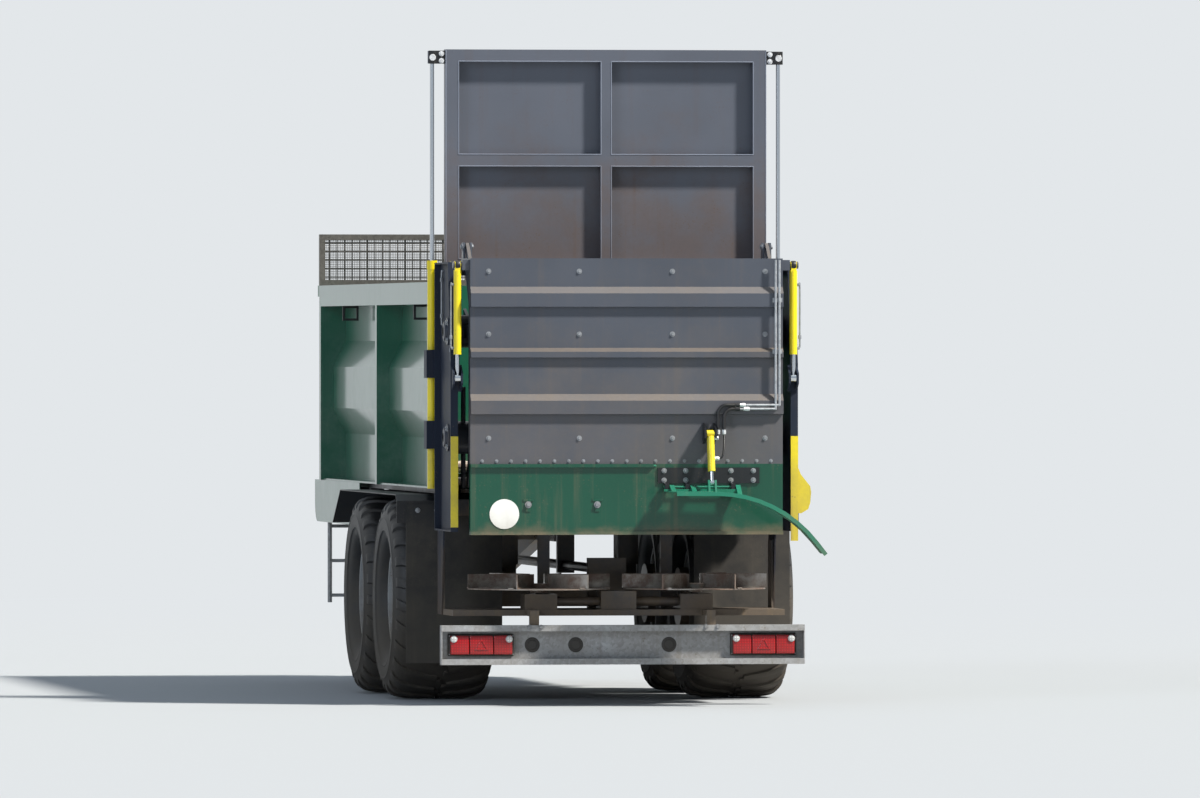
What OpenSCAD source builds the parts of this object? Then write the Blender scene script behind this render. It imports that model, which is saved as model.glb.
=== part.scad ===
// Towed manure spreader: a hopper on a tandem axle with a scraper floor and a lifting gate, and behind
// it two milling drums and two spreading discs under a hood that swings open.
// Millimetres. X is to the machine's right, Y is forward and Z is up.
// Stations run forward from the rear edge of the deck under the discs, and heights run up from the ground.
// The origin is the centre of the coupling eye.

/* [Hopper] */
// Station of the middle of the rear ribs
rear_rib_st = 750; // [740:5:770]
// Station of the middle ribs
mid_rib_st = 3500; // [3400:10:3600]
// Station of the front wall's outer face
front_st = 6680; // [6500:10:6800]
// Half of the width over the ribs
body_half = 1200; // [1185:5:1215]
// Gap between the tyres and the side walls' lower edge
body_clear = 70; // [66:1:75]
// Height of the floor plate above the side walls' lower edge
floor_rise = 100; // [95:1:110]
// Height of the top rails above the floor plate
wall_rise = 1300; // [1280:5:1320]
// Thickness of the wall, floor and cover sheets
sheet = 6; // [4:0.5:8]
// Depth of the ribs beside the flat panels
rib_depth = 180; // [170:2:190]
// Depth of the ribs beside the bulge of the panels
rib_shallow = 90; // [80:2:110]
// Length of a rib along the wall
rib_w = 90; // [80:2:100]
// Height of the top rails' section
rail_h = 150; // [130:2:160]
// Height above the floor at which the bulge starts
bulge_low = 235; // [225:5:245]
// Height of the bulge's sloping parts
bulge_slope = 185; // [170:5:200]
// Height of the bulge's flat part
bulge_flat = 295; // [280:5:310]
// Height of the screen above the front wall
screen_h = 370; // [350:10:400]
// Distance between the screen's bars
screen_pitch = 55; // [50:1:70]

/* [Running gear] */
// Tyre diameter over the lugs
tyre_d = 1380; // [1370:1:1384]
// Tyre width
tyre_w = 710; // [700:5:720]
// Lugs on one side of a tyre
tyre_lugs = 26; // [24:1:30]
// Height of a tyre's lugs over its carcass
lug_h = 20; // [14:1:24]
// Width of a lug
lug_w = 58; // [50:1:66]
// Lean of the lugs towards the tyre's middle
lug_lean = 20; // [12:1:26]
// Rim diameter at the bead
rim_d = 673; // [650:1:690]
// Distance of each tyre's middle from the centre plane
track_half = 1025; // [1020:1:1030]
// Station of the rear axle
rear_axle_st = 1750; // [1735:5:1765]
// Distance between the two axles
axle_gap = 1550; // [1530:5:1600]
// Side of the square axle beam
axle_beam = 120; // [110:2:130]
// Diameter of the wheel spindle
spindle_d = 90; // [80:1:95]
// Play between a shaft and the bore that turns on it
shaft_play = 0.05; // [0.03:0.01:0.08]

/* [Chassis] */
// Distance of each chassis rail's middle from the centre plane
rail_x = 420; // [415:1:430]
// Width of a chassis rail
rail_w = 100; // [90:2:110]
// Height of a chassis rail's section
rail_sec_h = 240; // [220:5:250]
// Station of the coupling eye
eye_st = 8450; // [8400:10:8600]
// Height of the coupling eye
eye_h = 500; // [480:5:520]
// Bore of the coupling eye
eye_bore_d = 50; // [40:1:52]
// Height of the coupling eye's ring
eye_ring_h = 45; // [40:1:50]
// Lift of the jack leg
jack_lift = 350; // [300:10:380]
// Outer diameter of the jack's leg
jack_leg_d = 70; // [60:1:75]

/* [Gate] */
// Room between the gate's edges and the side frames
gate_room = 30; // [26:1:40]
// Height of the gate
gate_tall = 1500; // [1490:2:1510]
// Depth of the gate's frame
gate_deep = 75; // [70:1:80]
// Lift of the gate
gate_lift = 1325; // [1315:1:1330]
// Diameter of the gate's cylinder rods
gate_rod_d = 30; // [26:1:34]
// Outer diameter of the gate's cylinders
gate_barrel_d = 64; // [60:1:70]
// How far the gate's cylinders stand out from the side frames' inner faces
gate_cyl_out = 56; // [54:1:60]

/* [Spreading unit] */
// How far the side frames' inner faces lie inside the body's sides
frame_inset = 70; // [66:1:74]
// Radius of the milling drums over the teeth
drum_r = 345; // [335:1:350]
// Radius of the milling drums' tube
drum_tube_r = 110; // [100:1:120]
// Height of the lower milling drum's axis above the floor plate
drum_rise = 250; // [245:1:255]
// Distance between the drums' axes
drum_gap = 715; // [710:1:720]
// Station of the drums' axes
drum_st = 150; // [140:1:160]
// Radius of the spreading discs
disc_r = 500; // [480:2:510]
// Distance of each disc's axis from the centre plane
disc_x = 530; // [525:1:540]
// Station of the discs' axes
disc_st = 120; // [110:1:130]
// Height of the discs' upper face
disc_h = 785; // [780:1:790]
// Height of the vanes on the discs
vane_h = 95; // [80:1:100]
// Radius to which the vanes are bent
vane_bend_r = 520; // [480:10:600]
// Vanes on a disc
vane_count = 6; // [4:1:6]

/* [Hood] */
// Room between the hood's cheeks and the side frames
hood_room = 70; // [66:1:74]
// Station of the hood's rear sheet
hood_st = -350; // [-356:1:-345]
// Height of the hood's upper face above the top rails
hood_over = 155; // [150:1:160]
// Height of the joint between the hood and its lower cover above the floor plate
hood_joint_rise = 75; // [65:1:85]
// Height of the lower cover
cover_tall = 475; // [465:1:480]
// How far the hood's ribs stand out
swage = 34; // [28:1:36]
// Station of the hood's hinge
hinge_st = 110; // [106:1:114]
// Height of the hood's hinge above the hood's upper face
hinge_rise = 80; // [77:1:85]
// Distance between the eyes of a hood cylinder at rest
hood_cyl_len = 760; // [740:5:780]
// Outer diameter of the hood's cylinders
hood_barrel_d = 52; // [48:1:56]
// Diameter of the hood's cylinder rods
hood_rod_d = 28; // [24:1:30]
// How far the hood's cylinders stand out from the side frames' inner faces
hood_cyl_out = 10; // [8:1:12]

/* [Edge flap] */
// Left edge of the flap, from the centre plane
flap_left = 240; // [230:2:260]
// Right edge of the flap's flat part
flap_flat = 510; // [500:2:520]
// Radius of the flap's bend
flap_bend_r = 870; // [860:2:880]
// Angle over which the flap bends down
flap_bend = 52; // [48:1:53]
// Length of the flap's straight tip
flap_tip = 100; // [90:2:110]
// Length of the flap behind its hinge
flap_len = 620; // [600:2:630]
// How far the flap's hinge lies below the cover's upper edge
flap_hinge_drop = 155; // [150:1:160]

/* [Lights] */
// Station of the light bar's rear face
bar_st = -200; // [-210:1:-190]
// Half of the light bar's width
bar_half = 1235; // [1220:1:1250]
// Height of the light bar's lower face
bar_base_h = 275; // [270:1:280]
// Height of the light bar
bar_tall = 265; // [255:1:270]
// Width of a lamp
lamp_w = 450; // [420:5:470]
// Depth of a lamp's housing behind its lenses
housing_deep = 38; // [30:1:44]
// Height of a lamp
lamp_tall = 150; // [140:1:160]

/* [Hidden] */
$fn = 48;

// Clearances
seat = 0.3;
run_gap = 5;
slip = 0.5;

// Colours
body_green = [0.05, 0.33, 0.25];
anthracite = [0.30, 0.32, 0.36];
drive_yellow = [0.90, 0.80, 0.10];
frame_grey = [0.22, 0.24, 0.28];
bare_steel = [0.62, 0.63, 0.65];
rubber_black = [0.09, 0.09, 0.09];
lamp_red = [0.75, 0.08, 0.10];

// Heights worked out from the tyres up
wall_base_h = tyre_d + body_clear;
floor_h = wall_base_h + floor_rise;
top_h = floor_h + wall_rise;
drum_low_h = floor_h + drum_rise;
hood_top_h = top_h + hood_over;
hood_base_h = floor_h + hood_joint_rise;
cover_base_h = hood_base_h - cover_tall;
hinge_h = hood_top_h + hinge_rise;
hood_eye_top_h = hood_top_h - 45;
hood_eye_low_h = hood_eye_top_h - hood_cyl_len;
flap_hinge_h = hood_base_h - flap_hinge_drop;
flap_cyl_top_h = hood_base_h + 205;

// Places worked out from the driving sizes
rail_top_h = wall_base_h - 75;
sill_h = wall_base_h - 35;
wheel_h = tyre_d / 2;
bearer_h = 44;
slat_h = 35;
slat_w = 40;
chain_t = 14;
chain_inner_r = 48;
shaft_h = floor_h - chain_inner_r;
shaft_rear_st = rear_rib_st - 90;
shaft_front_st = front_st - 110;
floor_front_st = shaft_front_st - 70;
inner_x = body_half - rib_depth - sheet;
frame_x = body_half - frame_inset;
gate_half = frame_x - gate_room;
gate_cyl_x = frame_x + gate_cyl_out;
hood_half = frame_x - hood_room;
hood_cyl_x = frame_x + hood_cyl_out;
gate_st = rear_rib_st - rib_w / 2 - gate_deep - 25;
gate_top_h = floor_h + slat_h + 15 + gate_lift + gate_tall;
gate_bar = 80;
gate_sheet = 5;
frame_t = 10;
frame_out = 40;
frame_rear_st = hood_st + 100;
frame_base_h = cover_base_h + 20;
post_cut = 135;
post_cut_h = hood_eye_low_h + 95;
guide_front_st = gate_st + gate_deep + 12;
deck_h = 600;
deck_t = 40;
fender_t = 6;
fender_h = tyre_d + 22;
fender_in = track_half - tyre_w / 2 - 10;
fender_out = track_half + tyre_w / 2 + 4;
front_axle_st = rear_axle_st + axle_gap;
bogie_st = rear_axle_st + axle_gap / 2;
bar_deep = 80;
bar_lip = 40;
hood_cyl_st = hood_st + 50;
barrel_top_h = hood_top_h - 10;

// Puts a piece that is drawn in stations and heights into the frame of the coupling eye
module in_frame() translate([0, -eye_st, -eye_h]) children();

// Draws a piece and its mirror image on the other side of the centre plane
module both_sides() {
    children();
    mirror([1, 0, 0]) children();
}

// Box between two corners
module box(x, y, z) translate([x[0], y[0], z[0]]) cube([x[1] - x[0], y[1] - y[0], z[1] - z[0]]);

// Extrudes an outline drawn in X and Z along Y
module along_y(y) translate([0, y[1], 0]) rotate([90, 0, 0]) linear_extrude(y[1] - y[0]) children();

// Extrudes an outline drawn in Y and Z along X
module along_x(x) translate([x[0], 0, 0]) rotate([90, 0, 90]) linear_extrude(x[1] - x[0]) children();

// Round bars along each axis
module bar_x(r, x, y, z) translate([x[0], y, z]) rotate([0, 90, 0]) cylinder(r = r, h = x[1] - x[0]);
module bar_y(r, x, y, z) translate([x, y[1], z]) rotate([90, 0, 0]) cylinder(r = r, h = y[1] - y[0]);
module bar_z(r, x, y, z) translate([x, y, z[0]]) cylinder(r = r, h = z[1] - z[0]);

// Square beam from one point to another, w wide and h tall
module beam(p, q, w, h) {
    d = q - p;
    flat = norm([d[0], d[1]]);
    translate(p) rotate([0, -atan2(d[2], flat), atan2(d[1], d[0])])
        translate([0, -w / 2, -h / 2]) cube([norm(d), w, h]);
}

// Outer face of the right wall's panel from its lower edge to the top: pairs of X and height
panel_line = [
    [body_half - rib_depth, wall_base_h],
    [body_half - rib_depth, floor_h + bulge_low],
    [body_half - rib_shallow, floor_h + bulge_low + bulge_slope],
    [body_half - rib_shallow, floor_h + bulge_low + bulge_slope + bulge_flat],
    [body_half - rib_depth, floor_h + bulge_low + 2 * bulge_slope + bulge_flat],
    [body_half - rib_depth, top_h - rail_h]
];

// The panel line moved sideways by a distance
function panel_at(dx) = [for (p = panel_line) [p[0] + dx, p[1]]];

// The same points from last to first
function reversed(list) = [for (i = [len(list) - 1:-1:0]) list[i]];

// Right side wall: panel, ribs and top rail
module side_wall() {
    color(body_green) {
        along_y([rear_rib_st - rib_w / 2, front_st])
            polygon(concat(panel_at(-sheet), reversed(panel_line)));
        for (st = [rear_rib_st, mid_rib_st, front_st - rib_w / 2])
            along_y([st - rib_w / 2, st + rib_w / 2])
                polygon(concat(panel_line, [[body_half, top_h - rail_h], [body_half, wall_base_h]]));
        box([inner_x, body_half], [rear_rib_st - rib_w / 2, front_st], [top_h - rail_h, top_h]);
        box([inner_x, body_half - 20], [rear_rib_st - rib_w / 2, front_st],
            [wall_base_h, wall_base_h + 12]);
    }
}

// Square loops under the top rails, which the cover's ropes are tied to
module wall_hooks() color("black") in_frame() both_sides() {
    x = [body_half - 128, body_half - 14];
    z = top_h - rail_h;
    bar = 16;
    for (st = [1600, 5450]) difference() {
        box(x, [st - bar / 2, st + bar / 2], [z - 105, z]);
        box([x[0] + bar, x[1] - bar], [st - bar, st + bar], [z - 105 + bar, z - bar]);
    }
}

module wall_right() in_frame() side_wall();
module wall_left() in_frame() mirror([1, 0, 0]) side_wall();

// Outline of the inside of the hopper, seen along its length
module hopper_section() polygon(concat(
    panel_at(-sheet), [[inner_x, top_h], [-inner_x, top_h]],
    reversed([for (p = panel_at(-sheet)) [-p[0], p[1]]])));

module front_wall() color(body_green) in_frame() {
    along_y([front_st - sheet, front_st]) hopper_section();
    for (x = [-660, 0, 660])
        box([x - 40, x + 40], [front_st, front_st + 60], [wall_base_h, top_h - 80]);
    box([-body_half, body_half], [front_st, front_st + 80], [top_h - 80, top_h]);
    box([-inner_x, inner_x], [front_st, front_st + 60], [wall_base_h - 60, wall_base_h + 20]);
}

// Screen that keeps clods off the towing machine
module front_screen() color(bare_steel) in_frame() {
    tube = 40;
    half = body_half - 5;
    y = [front_st + 20, front_st + 20 + tube];
    for (z = [top_h, top_h + screen_h - tube]) box([-half, half], y, [z, z + tube]);
    for (x = [-half, -tube / 2, half - tube]) box([x, x + tube], y, [top_h, top_h + screen_h]);
    middle = y[0] + tube / 2;
    count = floor((half - tube) / screen_pitch);
    for (i = [1:count - 1], side = [-1, 1])
        box([side * (i * screen_pitch + 20) - 4, side * (i * screen_pitch + 20) + 4], [middle - 4, middle + 4],
            [top_h + tube / 2, top_h + screen_h - 20]);
    rows = floor((screen_h - 2 * tube) / screen_pitch);
    for (i = [1:rows]) box([-half + 10, half - 10], [middle - 4, middle + 4],
        [top_h + i * screen_h / (rows + 1) - 4, top_h + i * screen_h / (rows + 1) + 4]);
}

module hopper_floor() color(body_green) in_frame() {
    box([-inner_x, inner_x], [rear_rib_st - 20, floor_front_st], [floor_h - sheet, floor_h]);
    step = (floor_front_st - rear_rib_st - 120) / 8;
    for (i = [0:8])
        box([-inner_x, inner_x], [rear_rib_st + 60 + i * step, rear_rib_st + 120 + i * step],
            [floor_h - sheet - bearer_h, floor_h - sheet]);
}

// Stadium outline round both scraper shafts
module chain_outline(r) {
    translate([shaft_rear_st, shaft_h]) circle(r);
    translate([shaft_front_st, shaft_h]) circle(r);
    translate([shaft_rear_st, shaft_h - r]) square([shaft_front_st - shaft_rear_st, 2 * r]);
}

// Distance of the outer chains' middle from the walls, and the chains' places
chain_room = 84;
slat_end = inner_x - chain_room;
chain_x = [-slat_end, -90, 90, slat_end];

module scraper_floor() color(bare_steel) in_frame() {
    chain_w = 36;
    for (x = chain_x)
        along_x([x - chain_w / 2, x + chain_w / 2]) difference() {
            chain_outline(chain_inner_r + chain_t);
            chain_outline(chain_inner_r);
        }
    run = shaft_front_st - shaft_rear_st;
    count = round(run / 400);
    for (i = [0:count], side = [-1, 1])
        for (z = [floor_h, 2 * shaft_h - floor_h - slat_h])
            box(side > 0 ? [90, slat_end] : [-slat_end, -90],
                [shaft_rear_st + i * run / count - slat_w / 2, shaft_rear_st + i * run / count + slat_w / 2],
                [z, z + slat_h]);
}

module scraper_shafts() color(frame_grey) in_frame() {
    wheel_r = chain_inner_r - 0.3;
    bar_x(25, [-frame_x, frame_x], shaft_rear_st, shaft_h);
    bar_x(25, [-inner_x, inner_x], shaft_front_st, shaft_h);
    for (x = chain_x, st = [shaft_rear_st, shaft_front_st]) bar_x(wheel_r, [x - 15, x + 15], st, shaft_h);
}

module chassis_frame() color(frame_grey) in_frame() {
    rail_base_h = rail_top_h - rail_sec_h;
    rail = [rail_x - rail_w / 2, rail_x + rail_w / 2];
    both_sides() {
        box(rail, [620, front_st - 30], [rail_base_h, rail_top_h]);
        for (st = [800, front_axle_st + tyre_d / 2 + 480, 5300, front_st - 140]) {
            box([rail[1], body_half - 90], [st, st + 80], [rail_top_h - 110, rail_top_h]);
            box([inner_x, body_half - 90], [st, st + 80], [rail_top_h, sill_h]);
        }
        box([inner_x, body_half - 90], [rear_rib_st - rib_w / 2, front_st], [sill_h, wall_base_h]);
        box([rail_x - 70, rail_x + 70], [bogie_st - 110, bogie_st + 110], [wheel_h + 215, rail_base_h]);
    }
    for (st = [640, bogie_st - 60, front_axle_st + 900, 5350, front_st - 150])
        box([-rail[0], rail[0]], [st, st + 120], [rail_base_h + 60, rail_top_h - 60]);
}

// Square axle beam with brake drums and a spindle at each end
module axle(st) color(frame_grey) in_frame() {
    hub_in = track_half - 230;
    box([-hub_in, hub_in], [st - axle_beam / 2, st + axle_beam / 2],
        [wheel_h - axle_beam / 2, wheel_h + axle_beam / 2]);
    both_sides() {
        bar_x(205, [hub_in - 130, hub_in], st, wheel_h);
        bar_x(spindle_d / 2, [hub_in, hub_in + 200], st, wheel_h);
    }
}
module axle_rear() axle(rear_axle_st);
module axle_front() axle(front_axle_st);

// One leaf spring pack on each side, held on a rocking seat in the middle
module leaf_springs() color("black") in_frame() both_sides() {
    leaf_t = 18;
    seat_h = wheel_h + 60;
    for (i = [0:3]) {
        reach = axle_gap / 2 + 110 - i * 190;
        box([rail_x - 45, rail_x + 45], [bogie_st - reach, bogie_st + reach],
            [seat_h + seat + i * leaf_t, seat_h + seat + (i + 1) * leaf_t]);
    }
    box([rail_x - 60, rail_x + 60], [bogie_st - 90, bogie_st + 90],
        [seat_h + seat + 4 * leaf_t, wheel_h + 215]);
}

// Cross section of a tyre's right half and rim: pairs of distance from the middle and radius
module tyre_section() {
    r = tyre_d / 2;
    w = tyre_w / 2;
    bead = rim_d / 2;
    polygon([
        [-w + 90, bead], [-w + 90, bead + 26], [-w + 44, bead + 60], [-w + 6, bead + 130], [-w, bead + 190],
        [-w + 22, r - 88], [-w + 78, r - lug_h - 14], [-w + 160, r - lug_h], [w - 160, r - lug_h],
        [w - 78, r - lug_h - 14], [w - 22, r - 88], [w, bead + 190], [w - 6, bead + 130], [w - 44, bead + 60],
        [w - 90, bead + 26], [w - 90, bead],
        [w - 110, bead + 60], [w - 60, bead + 190], [w - 110, r - 60], [-w + 110, r - 60],
        [-w + 60, bead + 190], [-w + 110, bead + 60]
    ]);
}

// Tyre about the X axis with its middle at the origin
// One lug of the right side, at the top of the tyre, its outline in X and the height over the axle
module tyre_lug() {
    r = tyre_d / 2;
    w = tyre_w / 2;
    hinge = w - 160;
    translate([hinge, 0, 0]) rotate([0, 0, lug_lean]) translate([-hinge, 0, 0])
        along_y([-lug_w / 2, lug_w / 2]) polygon([
            [34, r - 45], [40, r - 5], [hinge, r - 4], [w - 70, r - 17], [w - 20, r - 66], [w - 34, r - 86],
            [w - 90, r - 60], [hinge, r - 45]
        ]);
}

module tyre() color(rubber_black) {
    rotate([0, 90, 0]) rotate([0, 0, 90]) rotate_extrude($fn = 96)
        rotate([0, 0, -90]) mirror([1, 0, 0]) mirror([0, 1, 0]) rotate([0, 0, 180]) tyre_section();
    for (i = [0:tyre_lugs - 1]) {
        rotate([i * 360 / tyre_lugs, 0, 0]) tyre_lug();
        rotate([(i + 0.5) * 360 / tyre_lugs, 0, 0]) mirror([1, 0, 0]) tyre_lug();
    }
}

// Rim with its disc and hub, facing outward along +X
module rim() color("silver") rotate([0, 90, 0]) {
    w = tyre_w / 2;
    bead = rim_d / 2;
    lip = w - 90 + seat;
    hub_in = -230;
    difference() {
        union() {
            rotate_extrude($fn = 96) polygon([
                [bead - seat, -lip], [bead + 22, -lip], [bead + 22, -lip - 7], [bead - 10, -lip - 7],
                [bead - 14, -w + 150], [bead - 50, -w + 190], [bead - 50, w - 190], [bead - 14, w - 150],
                [bead - 10, lip + 7], [bead + 22, lip + 7], [bead + 22, lip], [bead - seat, lip],
                [bead - seat, w - 152], [bead - 40, w - 192], [bead - 40, -w + 192], [bead - seat, -w + 152]
            ]);
            translate([0, 0, -40]) cylinder(r = bead - 45, h = 16);
            translate([0, 0, hub_in + run_gap]) cylinder(r = 110, h = 240);
            translate([0, 0, -24]) cylinder(r = 85, h = 70);
        }
        translate([0, 0, hub_in]) cylinder(r = spindle_d / 2 + shaft_play, h = 215);
        for (a = [0:36:324]) rotate([0, 0, a]) translate([167.5, 0, -60]) cylinder(r = 11.5, h = 60);
        for (a = [0:60:300]) rotate([0, 0, a + 30]) translate([240, 0, -60]) cylinder(r = 32, h = 60);
    }
}

// Places of the wheels: side of the machine and station of the axle
module at_wheel(side, st) in_frame() translate([side * track_half, st, wheel_h])
    mirror([side > 0 ? 0 : 1, 0, 0]) children();
module tyre_rear_left() at_wheel(-1, rear_axle_st) tyre();
module tyre_rear_right() at_wheel(1, rear_axle_st) tyre();
module tyre_front_left() at_wheel(-1, front_axle_st) tyre();
module tyre_front_right() at_wheel(1, front_axle_st) tyre();
module rim_rear_left() at_wheel(-1, rear_axle_st) rim();
module rim_rear_right() at_wheel(1, rear_axle_st) rim();
module rim_front_left() at_wheel(-1, front_axle_st) rim();
module rim_front_right() at_wheel(1, front_axle_st) rim();

// Outline of a fender's sheet from its rear edge over the wheels to its front edge
module fender_line() {
    rear = rear_axle_st - tyre_d / 2 - 70;
    front = front_axle_st + tyre_d / 2 + 40;
    t = fender_t;
    polygon([
        [rear, fender_h - 190], [rear, fender_h - 40], [rear + 60, fender_h], [front, fender_h],
        [front + 420, fender_h - 230], [front + 420, fender_h - 230 + t + 2], [front + 2, fender_h + t],
        [rear + 58, fender_h + t], [rear - t, fender_h - 38], [rear - t, fender_h - 190]
    ]);
}

module fenders() color(rubber_black) in_frame() both_sides() {
    along_x([fender_in, fender_out]) fender_line();
    for (i = [0:3])
        box([inner_x + 20, inner_x + 60],
            [rear_axle_st - 500 + i * 820, rear_axle_st - 440 + i * 820], [fender_h + fender_t, sill_h]);
}

module mud_flaps() color(rubber_black) in_frame() both_sides()
    box([fender_in, track_half + tyre_w / 2 - 60],
        [rear_axle_st - tyre_d / 2 - 70 - fender_t - 10, rear_axle_st - tyre_d / 2 - 70 - fender_t],
        [260, fender_h - 60]);

// Covers below the front bay, with a rounded lower front corner
module side_skirts() color(body_green) in_frame() both_sides() {
    base = wall_base_h - 302;
    rear = front_axle_st + tyre_d / 2 + 490;
    front = front_st + 330;
    corner = 150;
    along_x([body_half - 16, body_half - 10]) difference() {
        translate([rear, base]) square([front - rear, wall_base_h - base]);
        translate([front - corner, base]) difference() {
            square([corner + 1, corner]);
            translate([0, corner]) circle(corner, $fn = 64);
        }
    }
    box([body_half - 90, body_half - 16], [rear, front], [wall_base_h - 6, wall_base_h]);
}

module ladder() color(bare_steel) in_frame() {
    st = front_st + 260;
    for (x = [-1090, -790]) bar_z(16, x, st, [560, wall_base_h - 6]);
    for (z = [600, 850, 1100]) box([-1090, -790], [st - 12, st + 12], [z, z + 24]);
    box([-body_half + 90, -790], [st - 30, st + 30], [wall_base_h - 6, wall_base_h]);
}

// Right beam of the drawbar from the neck to the head
base_h = rail_top_h - rail_sec_h - 60;
neck_st = front_st + 60;
head_st = eye_st - 330;
module drawbar_beam() beam([rail_x, neck_st - 40, base_h], [52, head_st, eye_h + 30], 100, 120);

// Two beams that meet at the head, which carries the coupling eye
module drawbar() color(frame_grey) in_frame() {
    both_sides() {
        box([rail_x - 50, rail_x + 50], [front_st - 1000, neck_st], [base_h - 60, base_h + 60]);
        drawbar_beam();
    }
    box([-110, 110], [head_st - 60, eye_st - 165], [eye_h - 60, eye_h + 90]);
    box([-110, 110], [eye_st - 165, eye_st - 135], [eye_h - 110, eye_h + 110]);
    box([-rail_x, rail_x], [neck_st - 100, neck_st], [base_h - 60, base_h + 60]);
}

module coupling_eye() color(bare_steel) in_frame() {
    ring_r = eye_bore_d / 2 + 32;
    difference() {
        union() {
            bar_z(ring_r, 0, eye_st, [eye_h - eye_ring_h / 2, eye_h + eye_ring_h / 2]);
            box([-30, 30], [eye_st - 115, eye_st - 30], [eye_h - eye_ring_h / 2, eye_h + eye_ring_h / 2]);
            box([-90, 90], [eye_st - 135, eye_st - 110], [eye_h - 90, eye_h + 90]);
        }
        bar_z(eye_bore_d / 2, 0, eye_st, [eye_h - eye_ring_h, eye_h + eye_ring_h]);
    }
}

// Parking jack beside the drawbar's left beam
jack_x = -340;
jack_st = front_st + 800;
jack_top_h = 740;
module jack_tube() color(frame_grey) in_frame() {
    leg_r = jack_leg_d / 2;
    tube_low_h = jack_lift + 75;
    difference() {
        bar_z(leg_r + 10, jack_x, jack_st, [tube_low_h, jack_top_h + jack_lift + 30]);
        bar_z(leg_r + slip, jack_x, jack_st, [tube_low_h - 10, jack_top_h + jack_lift + 10]);
    }
    difference() {
        box([jack_x + leg_r + 9, jack_x + leg_r + 70], [jack_st - 40, jack_st + 40], [700, 860]);
        mirror([1, 0, 0]) drawbar_beam();
    }
    crank_h = jack_top_h + jack_lift + 30;
    bar_z(10, jack_x, jack_st, [crank_h - 5, crank_h + 40]);
    box([jack_x - 130, jack_x + 12], [jack_st - 12, jack_st + 12], [crank_h + 40, crank_h + 48]);
    bar_z(12, jack_x - 116, jack_st, [crank_h + 44, crank_h + 130]);
}

module jack_leg() color(bare_steel) in_frame() {
    bar_z(jack_leg_d / 2, jack_x, jack_st, [20, jack_top_h]);
    translate([jack_x, jack_st, 0]) translate([-110, -110, 0]) cube([220, 220, 22]);
    bar_z(60, jack_x, jack_st, [22, 60]);
}

// Side frame of the spreading unit with the gate's guide: plate, posts and brackets
module side_frame() color(frame_grey) {
    top = hood_top_h - 25;
    plate = [frame_x, frame_x + frame_t];
    out = [frame_x + frame_t, frame_x + frame_t + frame_out];
    difference() {
        along_x(plate) polygon([
            [frame_rear_st + post_cut, top], [rear_rib_st - rib_w / 2, top], [rear_rib_st - rib_w / 2, deck_h],
            [rear_rib_st - 250, deck_h], [rear_rib_st - 330, frame_base_h], [frame_rear_st, frame_base_h],
            [frame_rear_st, post_cut_h]
        ]);
        for (i = [0, 1]) bar_x(32, [frame_x - 1, frame_x + frame_t + 1], drum_st, drum_low_h + i * drum_gap);
    }
    // Folded edge, which leans forward beside the hood's cylinder, and the stiffeners on the outside
    fold = 12;
    along_x(out) translate([frame_rear_st, 0]) polygon([
        [0, frame_base_h], [fold, frame_base_h], [fold, post_cut_h], [post_cut + fold, top],
        [post_cut, top], [0, post_cut_h]
    ]);
    box(out, [frame_rear_st + fold, gate_st - 40], [frame_base_h, frame_base_h + fold]);
    box(out, [frame_rear_st + post_cut, gate_st - 40], [top - fold, top]);
    box(out, [gate_st - 60, gate_st - 40], [frame_base_h + fold, top - fold]);
    // Guide strips before and behind the gate's edge
    box([gate_half - 40, frame_x], [gate_st - 14 - slip, gate_st - slip], [floor_h, top]);
    box([gate_half - 40, frame_x], [gate_st + gate_deep + slip, rear_rib_st - rib_w / 2], [floor_h, top]);
    // Clamps that hold the gate's cylinder
    for (rise = [650, 170]) frame_clamp(floor_h + rise, 190);
    // Side liner that the gate's edge runs along
    box([gate_half + run_gap, frame_x], [gate_st - slip, gate_st + gate_deep + slip], [floor_h, top]);
}

// Brackets on the rear posts for the lower eyes of the hood's cylinders
module cylinder_ears() color(frame_grey) in_frame() both_sides() {
    y = [hood_st + 20, frame_rear_st];
    box([hood_cyl_x - 34, hood_cyl_x + 34], [frame_rear_st - 10, frame_rear_st],
        [hood_eye_low_h - 90, hood_eye_low_h + 90]);
    for (x = [hood_cyl_x - 34, hood_cyl_x + 22]) along_x([x, x + 12]) polygon([
        [y[1] - 10, hood_eye_low_h - 80], [y[1] - 10, hood_eye_low_h + 80],
        [y[0], hood_eye_low_h + 35], [y[0], hood_eye_low_h - 35]
    ]);
}

// Clamp round the gate's cylinder, z high
module frame_clamp(z, tall) difference() {
    box([frame_x + frame_t, gate_cyl_x + 48], [gate_st - 40, gate_st + gate_deep + 18], [z, z + tall]);
    bar_z(gate_barrel_d / 2 + seat, gate_cyl_x, gate_st + 40, [z - 1, z + tall + 1]);
}

module side_frame_right() in_frame() side_frame();
module side_frame_left() in_frame() mirror([1, 0, 0]) side_frame();

// Cross beam over the drums, with the hood's hinge brackets and pins
hinge_x = [-(hood_half - 40), hood_half - 40];
module hood_beam() color(anthracite) in_frame() {
    beam_top_h = hood_top_h - 15;
    box([-frame_x, frame_x], [hinge_st - 50, hinge_st + 50], [beam_top_h - 100, beam_top_h]);
    for (x = hinge_x, side = [-1, 1])
        along_x(side > 0 ? [x + 16, x + 30] : [x - 30, x - 16]) polygon([
            [hinge_st - 45, beam_top_h - 20], [hinge_st + 50, beam_top_h - 20], [hinge_st + 50, beam_top_h],
            [hinge_st + 25, hinge_h + 28],
            [hinge_st - 22, hinge_h + 28], [hinge_st - 45, beam_top_h]
        ]);
    for (x = hinge_x) bar_x(15, [x - 30, x + 30], hinge_st, hinge_h);
}

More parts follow.
